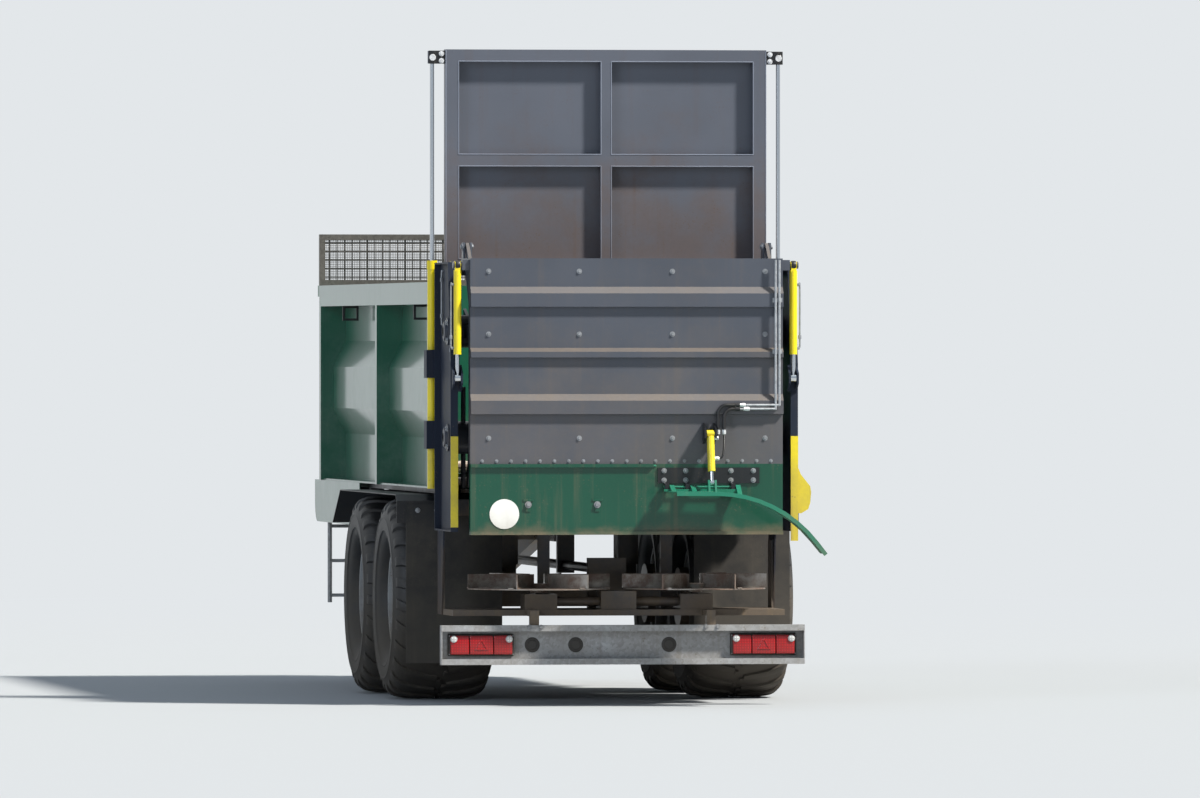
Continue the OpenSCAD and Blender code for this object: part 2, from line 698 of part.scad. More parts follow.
// Barrels of the two gate cylinders, open at the top for the rods
module gate_barrels() color(drive_yellow) in_frame() both_sides() difference() {
    union() {
        bar_z(gate_barrel_d / 2, gate_cyl_x, gate_st + 40, [wall_base_h, barrel_top_h]);
        bar_z(gate_barrel_d / 2 + 4, gate_cyl_x, gate_st + 40, [barrel_top_h - 60, barrel_top_h]);
    }
    bar_z(gate_rod_d / 2 + slip, gate_cyl_x, gate_st + 40, [wall_base_h + 30, barrel_top_h + 1]);
}

// Gate in its raised place: posts, bars and a sheet on the hopper's side
module gate() color(anthracite) in_frame() {
    base = gate_top_h - gate_tall;
    y = [gate_st, gate_st + gate_deep];
    back = [gate_st, gate_st + gate_deep - gate_sheet];
    post = 90;
    box([-gate_half, gate_half], [y[1] - gate_sheet, y[1]], [base, gate_top_h]);
    both_sides() box([gate_half - post, gate_half], back, [base, gate_top_h]);
    box([-35, 35], back, [base, gate_top_h]);
    for (i = [0:2]) {
        z = base + i * (gate_tall - gate_bar) / 2;
        box([-gate_half, gate_half], back, [z, z + gate_bar]);
    }
    // Brackets for the rods' eyes at the upper corners
    both_sides() for (st = [gate_st + 40 - 30, gate_st + 40 + 18])
        box([gate_half, gate_cyl_x + 26], [st, st + 12], [gate_top_h - 95, gate_top_h - 10]);
}

module gate_rods() color("silver") in_frame() both_sides() {
    st = gate_st + 40;
    eye_z = gate_top_h - 55;
    low = wall_base_h + 60 + gate_lift;
    bar_z(gate_rod_d / 2, gate_cyl_x, st, [low, eye_z - 20]);
    bar_y(24, gate_cyl_x, [st - 18 + seat, st + 18 - seat], eye_z);
}

// Milling drum along X with its teeth set on two spirals
module drum(z, turn) color(frame_grey) in_frame() translate([0, drum_st, z]) rotate([turn, 0, 0]) {
    half = frame_x - 30;
    bar_x(drum_tube_r, [-half, half], 0, 0);
    bar_x(32 - shaft_play, [-frame_x - frame_t - 20, frame_x + frame_t + 20], 0, 0);
    count = 20;
    for (i = [0:count - 1], start = [0, 180], side = [-1, 1]) {
        x = side * (40 + (half - 100) * i / (count - 1));
        rotate([start + side * 360 * i / (count - 1), 0, 0])
            translate([x - 10, -45, drum_tube_r - 12]) cube([20, 90, drum_r - drum_tube_r + 8]);
    }
}
module drum_lower() drum(drum_low_h, 0);
module drum_upper() drum(drum_low_h + drum_gap, 90);

// Deck under the discs with the arms that hold the light bar
module disc_deck() color(frame_grey) in_frame() {
    box([-frame_x, frame_x], [0, rear_rib_st - 100], [deck_h, deck_h + deck_t]);
    for (x = [-600, 600]) {
        box([x - 30, x + 30], [bar_st + 20, 0], [deck_h, deck_h + deck_t]);
        box([x - 30, x + 30], [bar_st + 20, bar_st + bar_deep], [bar_base_h + bar_tall, deck_h]);
    }
    both_sides() box([frame_x - 12, frame_x], [rear_rib_st - 260, rear_rib_st - 100],
        [deck_h + deck_t, 1100]);
    both_sides() box([rail_x - 40, rail_x + 40], [rear_rib_st - 100, rear_rib_st - 60],
        [deck_h, rail_top_h - rail_sec_h]);
}

// Gearboxes under the discs and the one that splits the drive between them
module gearboxes() color(drive_yellow) in_frame() {
    both_sides() {
        box([disc_x - 110, disc_x + 110], [disc_st - 110, disc_st + 110], [deck_h + deck_t, disc_h - 40]);
        bar_z(24, disc_x, disc_st, [disc_h - 40, disc_h + 30]);
    }
    box([-120, 120], [disc_st - 100, disc_st + 140], [deck_h + deck_t, disc_h - 20]);
    bar_x(30, [-disc_x + 110, disc_x - 110], disc_st, deck_h + deck_t + 55);
    bar_y(30, 0, [disc_st + 140, 560], deck_h + deck_t + 55);
    box([-130, 130], [560, 760 - 130], [deck_h + deck_t, 980]);
}

// Through shaft from the front stub to the rear gearbox
drive_h = 900;
module driveline() color(bare_steel) in_frame() {
    bar_y(32, 0, [630, front_st + 60], drive_h);
    bar_y(17.5, 0, [front_st + 60, front_st + 150], drive_h);
    for (st = [bogie_st, front_st - 120])
        box([-60, 60], [st, st + 50], [drive_h - 55, rail_top_h - rail_sec_h + 60]);
}

// Throwing vane, bent about an upright line beside the disc's middle
module vane() linear_extrude(vane_h) intersection() {
    translate([disc_r / 2, -vane_bend_r + 20]) difference() {
        circle(vane_bend_r + 4, $fn = 96);
        circle(vane_bend_r - 4, $fn = 96);
    }
    translate([100, -disc_r]) square([disc_r - 112, 2 * disc_r]);
}

// Spreading disc with its throwing vanes, turning about Z
module disc(side) color(bare_steel) in_frame() translate([side * disc_x, disc_st, disc_h]) difference() {
    union() {
        translate([0, 0, -8]) cylinder(r = disc_r - 20, h = 8, $fn = 96);
        translate([0, 0, -30]) cylinder(r = 60, h = 60);
        translate([0, 0, 0]) cylinder(r = 120, h = 30);
        for (i = [0:vane_count - 1]) rotate([0, 0, i * 360 / vane_count])
            mirror([0, side > 0 ? 0 : 1, 0]) {
                vane();
                translate([100, -12, 0]) cube([disc_r - 115, 38, 8]);
            }
    }
    translate([0, 0, -40]) cylinder(r = 24 + shaft_play, h = 70 + 1);
}
module disc_left() disc(-1);
module disc_right() disc(1);

// Chain guard on the right side frame and the strips down both rear posts
module drive_guard() color(drive_yellow) in_frame() {
    x = frame_x + frame_t + frame_out;
    low = frame_base_h + 30;
    y = [frame_rear_st - 8, frame_rear_st];
    both_sides() box([frame_x, x], y, [low, drum_low_h + 10]);
    box([frame_x, x], y, [low - 95, low]);
    along_y([frame_rear_st, frame_rear_st + 330]) polygon([
        [x, low + 400], [x, low + 90], [x + 22, low + 90], [x + 70, low + 118], [x + 84, low + 160],
        [x + 90, low + 232], [x + 84, low + 272], [x + 20, low + 352]
    ]);
}

// Hood: rear sheet with three pressed ribs, cheeks, roof and hinge arms
rib_rows = [for (drop = [[325, 205], [665, 615], [1045, 925]]) [hood_top_h - drop[0], hood_top_h - drop[1]]];
module hood_profile() {
    t = 5;
    y = hood_st;
    // Each rib gives four corners on the way down: height of its rear face between two short slopes
    function side_line(dy) = concat(
        [[y + dy, hood_top_h]],
        [for (r = rib_rows) each [
            [y + dy, r[1] + 14], [y + dy - swage, r[1]], [y + dy - swage, r[0]], [y + dy, r[0] - 4]]],
        [[y + dy, hood_base_h]]);
    polygon(concat(side_line(0), reversed(side_line(t))));
}

module hood() color(anthracite) in_frame() {
    t = 5;
    along_x([-hood_half, hood_half]) hood_profile();
    box([-hood_half, hood_half], [hood_st + t, hinge_st - 60], [hood_top_h - t, hood_top_h]);
    both_sides() {
        along_x([hood_half - t, hood_half]) polygon([
            [hood_st + t, hood_base_h], [hood_st + 90, hood_base_h], [hood_st + 90, hood_top_h - 305],
            [hood_st + 250, hood_top_h - 80], [hinge_st - 60, hood_top_h - t],
            [hood_st + t, hood_top_h - t]
        ]);
        // Bracket and pin for the cylinder's upper eye
        box([hood_half - t, hood_cyl_x - 28], [hood_cyl_st - 30, hood_cyl_st + 30],
            [hood_eye_top_h - 35, hood_eye_top_h + 35]);
        bar_x(14, [hood_cyl_x - 28, hood_cyl_x + 24], hood_cyl_st, hood_eye_top_h);
        bar_x(24, [hood_cyl_x + 24, hood_cyl_x + 32], hood_cyl_st, hood_eye_top_h);
    }
    box([-hood_half + t, hood_half - t], [hood_st + t, hood_st + 45], [hood_base_h, hood_base_h + t]);
    for (x = hinge_x) difference() {
        along_x([x - 11, x + 11]) polygon([
            [hinge_st - 160, hood_top_h], [hinge_st - 160, hood_top_h - t], [hinge_st - 60, hood_top_h - t],
            [hinge_st - 60, hood_top_h], [hinge_st + 24, hinge_h - 20],
            [hinge_st + 24, hinge_h + 22], [hinge_st - 20, hinge_h + 26]
        ]);
        bar_x(15 + shaft_play, [x - 12, x + 12], hinge_st, hinge_h);
    }
}

// Green cover below the hood, with a folded rim all round
module lower_cover() color(body_green) in_frame() {
    t = sheet;
    z = [cover_base_h, hood_base_h];
    box([-hood_half, hood_half], [hood_st, hood_st + t], z);
    box([-hood_half, hood_half], [hood_st + t, hood_st + 45], [z[1] - t, z[1]]);
    box([-hood_half, hood_half], [hood_st + t, hood_st + 60], [z[0], z[0] + t]);
    both_sides() box([hood_half - t, hood_half], [hood_st + t, hood_st + 60], [z[0] + t, z[1] - t]);
    box([-hood_half, hood_half], [hood_st - 22, hood_st], [z[0], z[0] + 22]);
    box([-hood_half, flap_left - 60], [hood_st - 22, hood_st], [z[1] - 22, z[1]]);
}

module speed_disc() color("white") in_frame()
    bar_y(100, -830, [hood_st - 4, hood_st], cover_base_h + 140);

// Bar and knuckles that carry the edge flap on the lower cover
flap_hinge_st = hood_st - 45;
flap_knuckles = [290, 430, 740];
module flap_mount() color(frame_grey) in_frame() {
    bar_low_h = flap_hinge_h + 25;
    box([flap_left - 30, 900], [hood_st - 12, hood_st], [bar_low_h, bar_low_h + 105]);
    for (x = flap_knuckles) difference() {
        along_x([x - 40, x - 10]) polygon([
            [hood_st, flap_hinge_h - 28], [hood_st, bar_low_h + 5], [flap_hinge_st - 20, flap_hinge_h + 20],
            [flap_hinge_st - 22, flap_hinge_h - 20]
        ]);
        bar_x(8 + shaft_play, [x - 41, x - 9], flap_hinge_st, flap_hinge_h);
    }
    // Ears for the flap cylinder's upper eye
    for (x = [514, 584]) along_x([x, x + 12])
        translate([hood_st, flap_cyl_top_h]) polygon([[0, -70], [0, 70], [-110, 30], [-110, -30]]);
    bar_x(10, [526, 584], hood_st - 85, flap_cyl_top_h);
}

// Edge flap: flat part and a bend that comes down at its right end
module flap_outline(t) {
    n = 8;
    z = flap_hinge_h - 26;
    r = flap_bend_r;
    tip = flap_tip * [cos(flap_bend), -sin(flap_bend)];
    outer = [for (i = [0:n]) let (a = flap_bend * i / n) [flap_flat + r * sin(a), z - r * (1 - cos(a))]];
    inner = [for (i = [n:-1:0]) let (a = flap_bend * i / n)
        [flap_flat + (r - t) * sin(a), z - t - (r - t) * (1 - cos(a))]];
    polygon(concat([[flap_left, z]], outer, [outer[n] + tip, inner[0] + tip], inner,
        [[flap_left, z - t]]));
}

// How far the bend lies below the flat part at a distance from the centre plane
function flap_drop(x) = x > flap_flat ? flap_bend_r * (1 - cos(asin((x - flap_flat) / flap_bend_r))) : 0;

// Front edge of the flap's bend, which clears the cover when the flap is down: pairs of X and
// distance behind the hinge
flap_edge = [[hood_half - 300, 25], [hood_half, 255], [hood_half + 230, 350]];

module flap() color(body_green) in_frame() {
    t = 6;
    far_x = flap_edge[2][0] + 200;
    difference() {
        along_y([flap_hinge_st - flap_len, flap_hinge_st - 24]) flap_outline(t);
        translate([0, flap_hinge_st, flap_hinge_h - 600]) linear_extrude(600) polygon(concat(
            [[flap_edge[0][0], 1]], [for (p = flap_edge) [p[0], -p[1]]], [[far_x, -flap_edge[2][1]], [far_x, 1]]));
    }
    along_y([flap_hinge_st - flap_len, flap_hinge_st - flap_len + 5]) flap_outline(27);
    // Rib along the front edge, from the bend up to the height of the knuckles
    rib_end = flap_knuckles[2] + 22;
    along_y([flap_hinge_st - 42, flap_hinge_st - 34]) polygon(concat(
        [[flap_left, flap_hinge_h - 14], [rib_end, flap_hinge_h - 14]],
        [for (x = [rib_end, 700, 640, 570, flap_flat, flap_left])
            [x, flap_hinge_h - 29 - flap_drop(x)]]));
    for (x = flap_knuckles) along_x([x - 9, x + 22]) polygon([
        [flap_hinge_st - 120, flap_hinge_h - 29 - flap_drop(x - 9)],
        [flap_hinge_st - 24, flap_hinge_h - 29 - flap_drop(x - 9)],
        [flap_hinge_st + 14, flap_hinge_h - 14], [flap_hinge_st + 14, flap_hinge_h + 14],
        [flap_hinge_st - 14, flap_hinge_h + 14]
    ]);
    bar_x(8, [flap_knuckles[0] - 45, flap_knuckles[2] + 25], flap_hinge_st, flap_hinge_h);
    // Ears for the rod's pin
    for (x = [526, 570]) along_x([x, x + 14]) polygon([
        [flap_hinge_st - 150, flap_hinge_h - 31], [flap_hinge_st - 70, flap_hinge_h - 31],
        [flap_hinge_st - 95, flap_hinge_h + 48], [flap_hinge_st - 125, flap_hinge_h + 48]
    ]);
}

// Pipes on the hood that feed the flap's cylinder, with their clamps
pipe_end_h = hood_top_h - 985;
pipe_r = 8;
pipe_out = 16;
module flap_pipes() color("silver") in_frame() {
    for (i = [0, 1]) {
        x = hood_half - 30 - i * 26;
        y = hood_st - swage - pipe_out;
        z = pipe_end_h - i * 26;
        bar_z(pipe_r, x, y, [z, hood_top_h - 10]);
        bar_x(pipe_r, [760, x], y, z);
        translate([x, y, z]) sphere(pipe_r);
    }
    for (z = [hood_top_h - 295, hood_top_h - 640])
        box([hood_half - 75, hood_half - 10], [hood_st - swage - pipe_out + pipe_r - 1, hood_st - swage], [z, z + 30]);
}

module flap_hoses() color(rubber_black) in_frame() {
    y = hood_st - swage - pipe_out;
    bend = 60;
    for (i = [0, 1]) {
        x = 612 + i * 40;
        z = pipe_end_h - i * 26;
        bar_x(11, [x + bend, 728], y, z);
        bar_x(15, [728, 760], y, z);
        translate([x + bend, y, z - bend]) rotate([90, 0, 0]) rotate([0, 0, 90])
            rotate_extrude(angle = 90) translate([bend, 0]) circle(11);
        bar_z(11, x, y, [flap_cyl_top_h + 10, z - bend]);
    }
}

// Barrels of the hood's cylinders, hung from the hood
module hood_barrels() color(drive_yellow) in_frame() both_sides() {
    y = hood_cyl_st;
    top = hood_eye_top_h;
    barrel_low_h = hood_eye_low_h + 160;
    difference() {
        union() {
            bar_z(hood_barrel_d / 2, hood_cyl_x, y, [barrel_low_h, top - 35]);
            bar_x(26, [hood_cyl_x - 20, hood_cyl_x + 20], y, top);
            box([hood_cyl_x - 18, hood_cyl_x + 18], [y - 22, y + 22], [top - 45, top - 10]);
        }
        bar_x(14 + shaft_play, [hood_cyl_x - 21, hood_cyl_x + 21], y, top);
        bar_z(hood_rod_d / 2 + slip, hood_cyl_x, y, [barrel_low_h - 10, top - 55]);
    }
}

module hood_rods() color("silver") in_frame() both_sides() {
    bar_z(hood_rod_d / 2, hood_cyl_x, hood_cyl_st, [hood_eye_low_h + 15, hood_eye_top_h - 65]);
    bar_x(24, [hood_cyl_x - 18, hood_cyl_x + 18], hood_cyl_st, hood_eye_low_h);
    bar_x(12, [hood_cyl_x - 22 + seat, hood_cyl_x + 22 - seat], hood_cyl_st, hood_eye_low_h);
}

// Cylinder that holds the edge flap
flap_cyl_top = [hood_st - 85, flap_cyl_top_h];
flap_cyl_low = [flap_hinge_st - 110, flap_hinge_h + 28];
flap_cyl_tilt = atan2(flap_cyl_top[0] - flap_cyl_low[0], flap_cyl_top[1] - flap_cyl_low[1]);
flap_cyl_len = norm(flap_cyl_top - flap_cyl_low);

// Puts a cylinder that is drawn hanging down from the origin at the flap cylinder's upper pin
module at_flap_cylinder() in_frame() translate([555, flap_cyl_top[0], flap_cyl_top[1]])
    rotate([-flap_cyl_tilt, 0, 0]) children();

module flap_barrel() color(drive_yellow) at_flap_cylinder() difference() {
    union() {
        translate([0, 0, -260]) cylinder(r = 25, h = 240);
        translate([-26, 0, 0]) rotate([0, 90, 0]) cylinder(r = 22, h = 52);
    }
    translate([-27, 0, 0]) rotate([0, 90, 0]) cylinder(r = 10 + shaft_play, h = 54);
    translate([0, 0, -261]) cylinder(r = 12 + slip, h = 225);
}

module flap_rod() color("silver") at_flap_cylinder() {
    translate([0, 0, -flap_cyl_len]) cylinder(r = 12, h = flap_cyl_len - 50);
    translate([-12, 0, -flap_cyl_len]) rotate([0, 90, 0]) cylinder(r = 18, h = 24);
    translate([-15 + seat, 0, -flap_cyl_len]) rotate([0, 90, 0]) cylinder(r = 9, h = 30 - 2 * seat);
}

// Channel across the rear, open to the rear, with a lip along each edge and closed ends
module light_bar() color(bare_steel) in_frame() translate([0, bar_st, 0]) {
    z = [bar_base_h, bar_base_h + bar_tall];
    t = 6;
    difference() {
        box([-bar_half, bar_half], [0, bar_deep], z);
        box([-bar_half + t, bar_half - t], [t, bar_deep - t], [z[0] + t, z[1] - t]);
        box([-bar_half + t, bar_half - t], [-1, t + 1], [z[0] + bar_lip, z[1] - bar_lip]);
        for (x = [-610, -315, 320])
            translate([x, bar_deep + 1, bar_base_h + bar_tall / 2]) rotate([90, 0, 0]) cylinder(r = 45, h = 20);
    }
}

// Tail lamps on the channel's web
module lamps() color(lamp_red) in_frame() translate([0, bar_st, 0])
for (x = [-bar_half + 50, bar_half - 50 - lamp_w]) {
    middle = bar_base_h + bar_tall / 2;
    back = bar_deep - 6;
    box([x, x + lamp_w], [back - housing_deep, back], [middle - lamp_tall / 2, middle + lamp_tall / 2]);
    // Lenses: a narrow one at each end and a wide one between them
    for (place = [[0.03, 0.31], [0.325, 0.675], [0.69, 0.97]])
        box([x + lamp_w * place[0], x + lamp_w * place[1]], [12, back - housing_deep],
            [middle - lamp_tall / 2 + 11, middle + lamp_tall / 2 - 11]);
}

chassis_frame();
drawbar();
coupling_eye();
jack_tube();
jack_leg();
hopper_floor();
scraper_floor();
scraper_shafts();
wall_left();
wall_right();
wall_hooks();
front_wall();
front_screen();
side_skirts();
fenders();
mud_flaps();
ladder();
axle_rear();
axle_front();
leaf_springs();
tyre_rear_left();
tyre_rear_right();
tyre_front_left();
tyre_front_right();
rim_rear_left();
rim_rear_right();
rim_front_left();
rim_front_right();
side_frame_left();
side_frame_right();
cylinder_ears();
hood_beam();
gate_barrels();
gate();
gate_rods();
drum_lower();
drum_upper();
disc_deck();
gearboxes();
driveline();
disc_left();
disc_right();
drive_guard();
hood();
lower_cover();
speed_disc();
flap_mount();
flap_pipes();
flap_hoses();
hood_barrels();
hood_rods();
flap();
flap_barrel();
flap_rod();
light_bar();
lamps();
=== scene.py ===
"""Finish and small parts of a towed manure spreader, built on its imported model.

Sizes are in metres, in the model's own frame: X to the machine's right, Y forward, Z up, with the origin in
the coupling eye. Places taken over from the part's source are in its millimetres: X, the station, which is
the distance forward from the rear edge of the deck under the discs, and the height above the ground.
"""

import math
from functools import partial

import bpy
import numpy as np
from mathutils import Matrix, Vector


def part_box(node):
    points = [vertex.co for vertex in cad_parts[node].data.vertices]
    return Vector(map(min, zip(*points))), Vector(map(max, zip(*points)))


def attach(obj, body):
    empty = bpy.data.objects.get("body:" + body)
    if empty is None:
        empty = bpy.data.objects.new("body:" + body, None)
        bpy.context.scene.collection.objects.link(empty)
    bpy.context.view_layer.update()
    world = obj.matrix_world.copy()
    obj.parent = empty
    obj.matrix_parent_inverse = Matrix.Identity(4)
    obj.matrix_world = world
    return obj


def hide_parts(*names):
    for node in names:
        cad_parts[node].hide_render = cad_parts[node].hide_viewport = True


bl_info = {
    "name": "Manure spreader finish",
    "version": (1, 0, 0),
    "blender": (4, 5, 0),
    "location": "3D View > Sidebar > Spreader",
    "description": "Puts tyres, lamps, pipes, fasteners and weathered finishes on the packed spreader",
    "category": "Object",
}

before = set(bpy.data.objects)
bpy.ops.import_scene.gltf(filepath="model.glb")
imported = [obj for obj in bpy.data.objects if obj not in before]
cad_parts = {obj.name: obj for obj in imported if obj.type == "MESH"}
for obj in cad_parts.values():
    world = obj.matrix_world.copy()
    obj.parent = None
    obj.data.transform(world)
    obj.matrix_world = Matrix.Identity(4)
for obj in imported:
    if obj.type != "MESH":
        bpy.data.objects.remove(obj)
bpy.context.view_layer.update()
BASE = Vector((0.0, -8.45, -0.5))  # station 0 on the ground, in the frame
GROUND = BASE.z
MIDDLE_Y = -5.0  # about the middle of the machine
PALE = "#E3E7EA"  # background
# Each wheel's side and station
WHEELS = {"rear_left": (-1, 1750), "rear_right": (1, 1750),
          "front_left": (-1, 3300), "front_right": (1, 3300)}


# Shapes. A shape is a pair: an array of points (n, 3) and an array of faces (m, 4).


def grid(points, wrap_u=False, wrap_v=False):
    """Shape of a grid of points (u, v, 3): each cell between neighbours in u and v is one face."""
    points = np.asarray(points, float)
    nu, nv = points.shape[:2]
    u, v = np.meshgrid(np.arange(nu - (not wrap_u)), np.arange(nv - (not wrap_v)), indexing="ij")
    next_u, next_v = (u + 1) % nu, (v + 1) % nv
    faces = np.stack([u * nv + v, next_u * nv + v, next_u * nv + next_v, u * nv + next_v], -1)
    return points.reshape(-1, 3), faces.reshape(-1, 4)


def merge(shapes):
    """One shape of several, their points one after the other."""
    starts = np.cumsum([0] + [len(points) for points, _ in shapes[:-1]])
    return (np.concatenate([points for points, _ in shapes]),
            np.concatenate([faces + start for (_, faces), start in zip(shapes, starts)]))


def place(shape, matrix):
    """The shape under a 4x4 matrix."""
    m = np.asarray(matrix, float)
    return shape[0] @ m[:3, :3].T + m[:3, 3], shape[1]


def repeated(points, faces):
    """One shape of k rows of points (k, n, 3) that all have the same faces."""
    shifted = faces[None] + (np.arange(len(points)) * points.shape[1])[:, None, None]
    return points.reshape(-1, 3), shifted.reshape(-1, 4)


def copies(shape, matrices):
    """The shape repeated under an array of 4x4 matrices (k, 4, 4), worked out at once."""
    m = np.asarray(matrices, float)
    points, faces = shape
    return repeated(np.einsum("kij,nj->kni", m[:, :3, :3], points) + m[:, None, :3, 3], faces)


def turned(profile, count, axis="z"):
    """Profile of pairs (radius r, place along the axis) turned about the axis. About z, a point at the angle
    a is x = r cos a, y = r sin a, z = the place."""
    r, along = np.asarray(profile, float).T
    a = np.linspace(0, math.tau, count, endpoint=False)
    ring = np.stack([np.outer(np.cos(a), r), np.outer(np.sin(a), r), np.tile(along, (count, 1))], -1)
    order = {"x": [2, 0, 1], "y": [1, 2, 0], "z": [0, 1, 2]}[axis]
    return grid(ring[..., order], wrap_u=True)


def at(x, y, z):
    """Matrix that moves by (x, y, z)."""
    return np.array(Matrix.Translation((x, y, z)))


def spot(x, station, height):
    """Matrix that moves to a place given in millimetres: X, station and height."""
    return at(x / 1000, station / 1000 + BASE.y, height / 1000 + BASE.z)


def turn(degrees, axis):
    """Matrix that turns about an axis through the origin."""
    return np.array(Matrix.Rotation(math.radians(degrees), 4, axis))


def swept(path, radius, sides):
    """Tube round a path of points: at each point a circle square to the path, its start direction carried
    along without twist, and a closing point at each end."""
    path = np.asarray(path, float)
    along = np.gradient(path, axis=0)
    along /= np.linalg.norm(along, axis=1)[:, None]
    side = np.cross(along[0], [0.0, 0.0, 1.0] if abs(along[0][2]) < 0.9 else [1.0, 0.0, 0.0])
    first = np.empty_like(path)
    for i, direction in enumerate(along):
        side = side - direction * (side @ direction)
        side /= np.linalg.norm(side)
        first[i] = side
    second = np.cross(along, first)
    a = np.linspace(0, math.tau, sides, endpoint=False)[:, None]
    r = np.broadcast_to(np.asarray(radius, float), len(path))[:, None, None]
    ring = path[:, None] + r * (np.cos(a) * first[:, None] + np.sin(a) * second[:, None])
    start, end = (np.tile(path[i], (1, sides, 1)) for i in (0, -1))
    return grid(np.concatenate([start, ring, end]), wrap_v=True)


def smooth_path(knots, count):
    """Points on a Catmull-Rom curve through the knots: each span is the cubic that leaves and meets its knots
    in the direction of their neighbours."""
    k = np.asarray(knots, float)
    k = np.concatenate([[2 * k[0] - k[1]], k, [2 * k[-1] - k[-2]]])
    t = np.linspace(0, len(k) - 3, count)
    i = np.minimum(t.astype(int), len(k) - 4)
    f = (t - i)[:, None]
    a, b, c, d = (k[i + step] for step in range(4))
    return 0.5 * (2 * b + (c - a) * f + (2 * a - 5 * b + 4 * c - d) * f ** 2
                  + (3 * b - a - 3 * c + d) * f ** 3)


def pipe(route, count, radius):
    """Round pipe on a smooth path through a route of places in X, station and height (mm)."""
    return swept(smooth_path([spot(*p)[:3, 3] for p in route], count), radius, 10)


def soft_box(size, edge):
    """Box with rounded edges: the points of a cube's faces, pulled in by the edge radius and pushed out again
    along their direction from the nearest point of the inner box."""
    inner_half = np.asarray(size, float) / 2 - edge
    bend = np.linspace(0.5, 1.0, 4)
    t = np.concatenate([-bend[::-1], bend])
    shapes = []
    for axis in range(3):
        for way in (-1.0, 1.0):
            p = np.full((len(t), len(t), 3), way)
            p[..., (axis + 1) % 3], p[..., (axis + 2) % 3] = np.meshgrid(t, t, indexing="ij")
            nearest = np.clip(p, -0.5, 0.5)
            out = p - nearest
            out /= np.linalg.norm(out, axis=-1, keepdims=True)
            shapes.append(grid(nearest * 2 * inner_half + edge * out))
    return merge(shapes)


def hex_bolt(across, head, washer=0.0):
    """Bolt head along +Z from the origin: a chamfered six-sided head on a round washer."""
    r = across / 2 / math.cos(math.pi / 6)
    top = washer + head
    shape = turned([(0, washer), (r, washer), (r, washer + head * 0.82), (r * 0.86, top), (0, top)], 6)
    if washer:
        wide = across * 0.95
        shape = merge([shape, turned([(0, 0), (wide, 0), (wide, washer), (0, washer)], 16)])
    return shape


def union_nut(bore, wide, narrow, half, axis="z"):
    """Six-sided nut round a pipe, chamfered over the last 4 mm: the radii of its bore, corners and narrow
    end, and half its length."""
    return turned([(bore, -half), (wide, -half), (wide, half - 0.004), (narrow, half), (bore, half)], 6, axis)


def put(name, shape, finish, body, smooth=30, replaces=()):
    """Makes an object of a shape with its material, joins its doubled points, turns its faces outwards and
    lets it ride on a body. Faces that meet at less than smooth degrees are shaded round."""
    points, faces = shape
    mesh = bpy.data.meshes.new(name)
    mesh.vertices.add(len(points))
    mesh.vertices.foreach_set("co", np.asarray(points, np.float32).ravel())
    mesh.loops.add(faces.size)
    mesh.loops.foreach_set("vertex_index", np.asarray(faces, np.int32).ravel())
    mesh.polygons.add(len(faces))
    mesh.polygons.foreach_set("loop_start", np.arange(0, faces.size, faces.shape[1], dtype=np.int32))
    mesh.update(calc_edges=True)
    mesh.validate()
    mesh.materials.append(material(finish))
    obj = bpy.data.objects.new(name, mesh)
    bpy.context.scene.collection.objects.link(obj)
    bpy.ops.object.select_all(action="DESELECT")
    bpy.context.view_layer.objects.active = obj
    obj.select_set(True)
    bpy.ops.object.mode_set(mode="EDIT")
    bpy.ops.mesh.select_all(action="SELECT")
    bpy.ops.mesh.remove_doubles(threshold=0.00002)
    bpy.ops.mesh.normals_make_consistent(inside=False)
    bpy.ops.object.mode_set(mode="OBJECT")
    if smooth:
        bpy.ops.object.shade_smooth_by_angle(angle=math.radians(smooth), keep_sharp_edges=False)
    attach(obj, body)
    if replaces:
        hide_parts(*replaces)


# Materials. A share goes from 0 to 1, and a texture's scale of 1 is one feature a metre.

SMOOTH = {"interpolation_type": "SMOOTHSTEP"}  # share that input 0 has come from input 1 to input 2
PRODUCT = {"operation": "MULTIPLY", "use_clamp": True}
SUM = {"operation": "ADD", "use_clamp": True}
GROWN = {"operation": "MULTIPLY_ADD", "use_clamp": True}  # input 0 times input 1, plus input 2
BLEND = {"give": 2, "data_type": "RGBA"}  # of the colours in inputs 6 and 7 by the share in input 0


def linear(hex_colour, light=1.0):
    """Linear colour of an sRGB hex value, darkened to a share of its light."""
    s = np.array([int(hex_colour[i:i + 2], 16) / 255 for i in (1, 3, 5)])
    rgb = np.where(s <= 0.04045, s / 12.92, ((s + 0.055) / 1.055) ** 2.4)
    return (*(rgb * light), 1.0)


def node(tree, kind, links=None, give=0, **settings):
    """Adds a node to the tree and gives one of its outputs, if it has any. Settings are its properties, and
    links are its inputs by name or number: a socket or a value each."""
    made = tree.nodes.new("ShaderNode" + kind)
    for key, value in settings.items():
        setattr(made, key, value)
    for key, value in (links or {}).items():
        if isinstance(value, bpy.types.NodeSocket):
            tree.links.new(value, made.inputs[key])
        else:
            made.inputs[key].default_value = value
    return made.outputs[give] if made.outputs else None


def blank(name):
    """New material with an empty tree; gives it, what adds a node to it, and the place on the object."""
    surface = bpy.data.materials.new(name)
    surface.use_nodes = True
    surface.node_tree.nodes.clear()
    add = partial(node, surface.node_tree)
    return surface, add, add("TexCoord", give="Object")


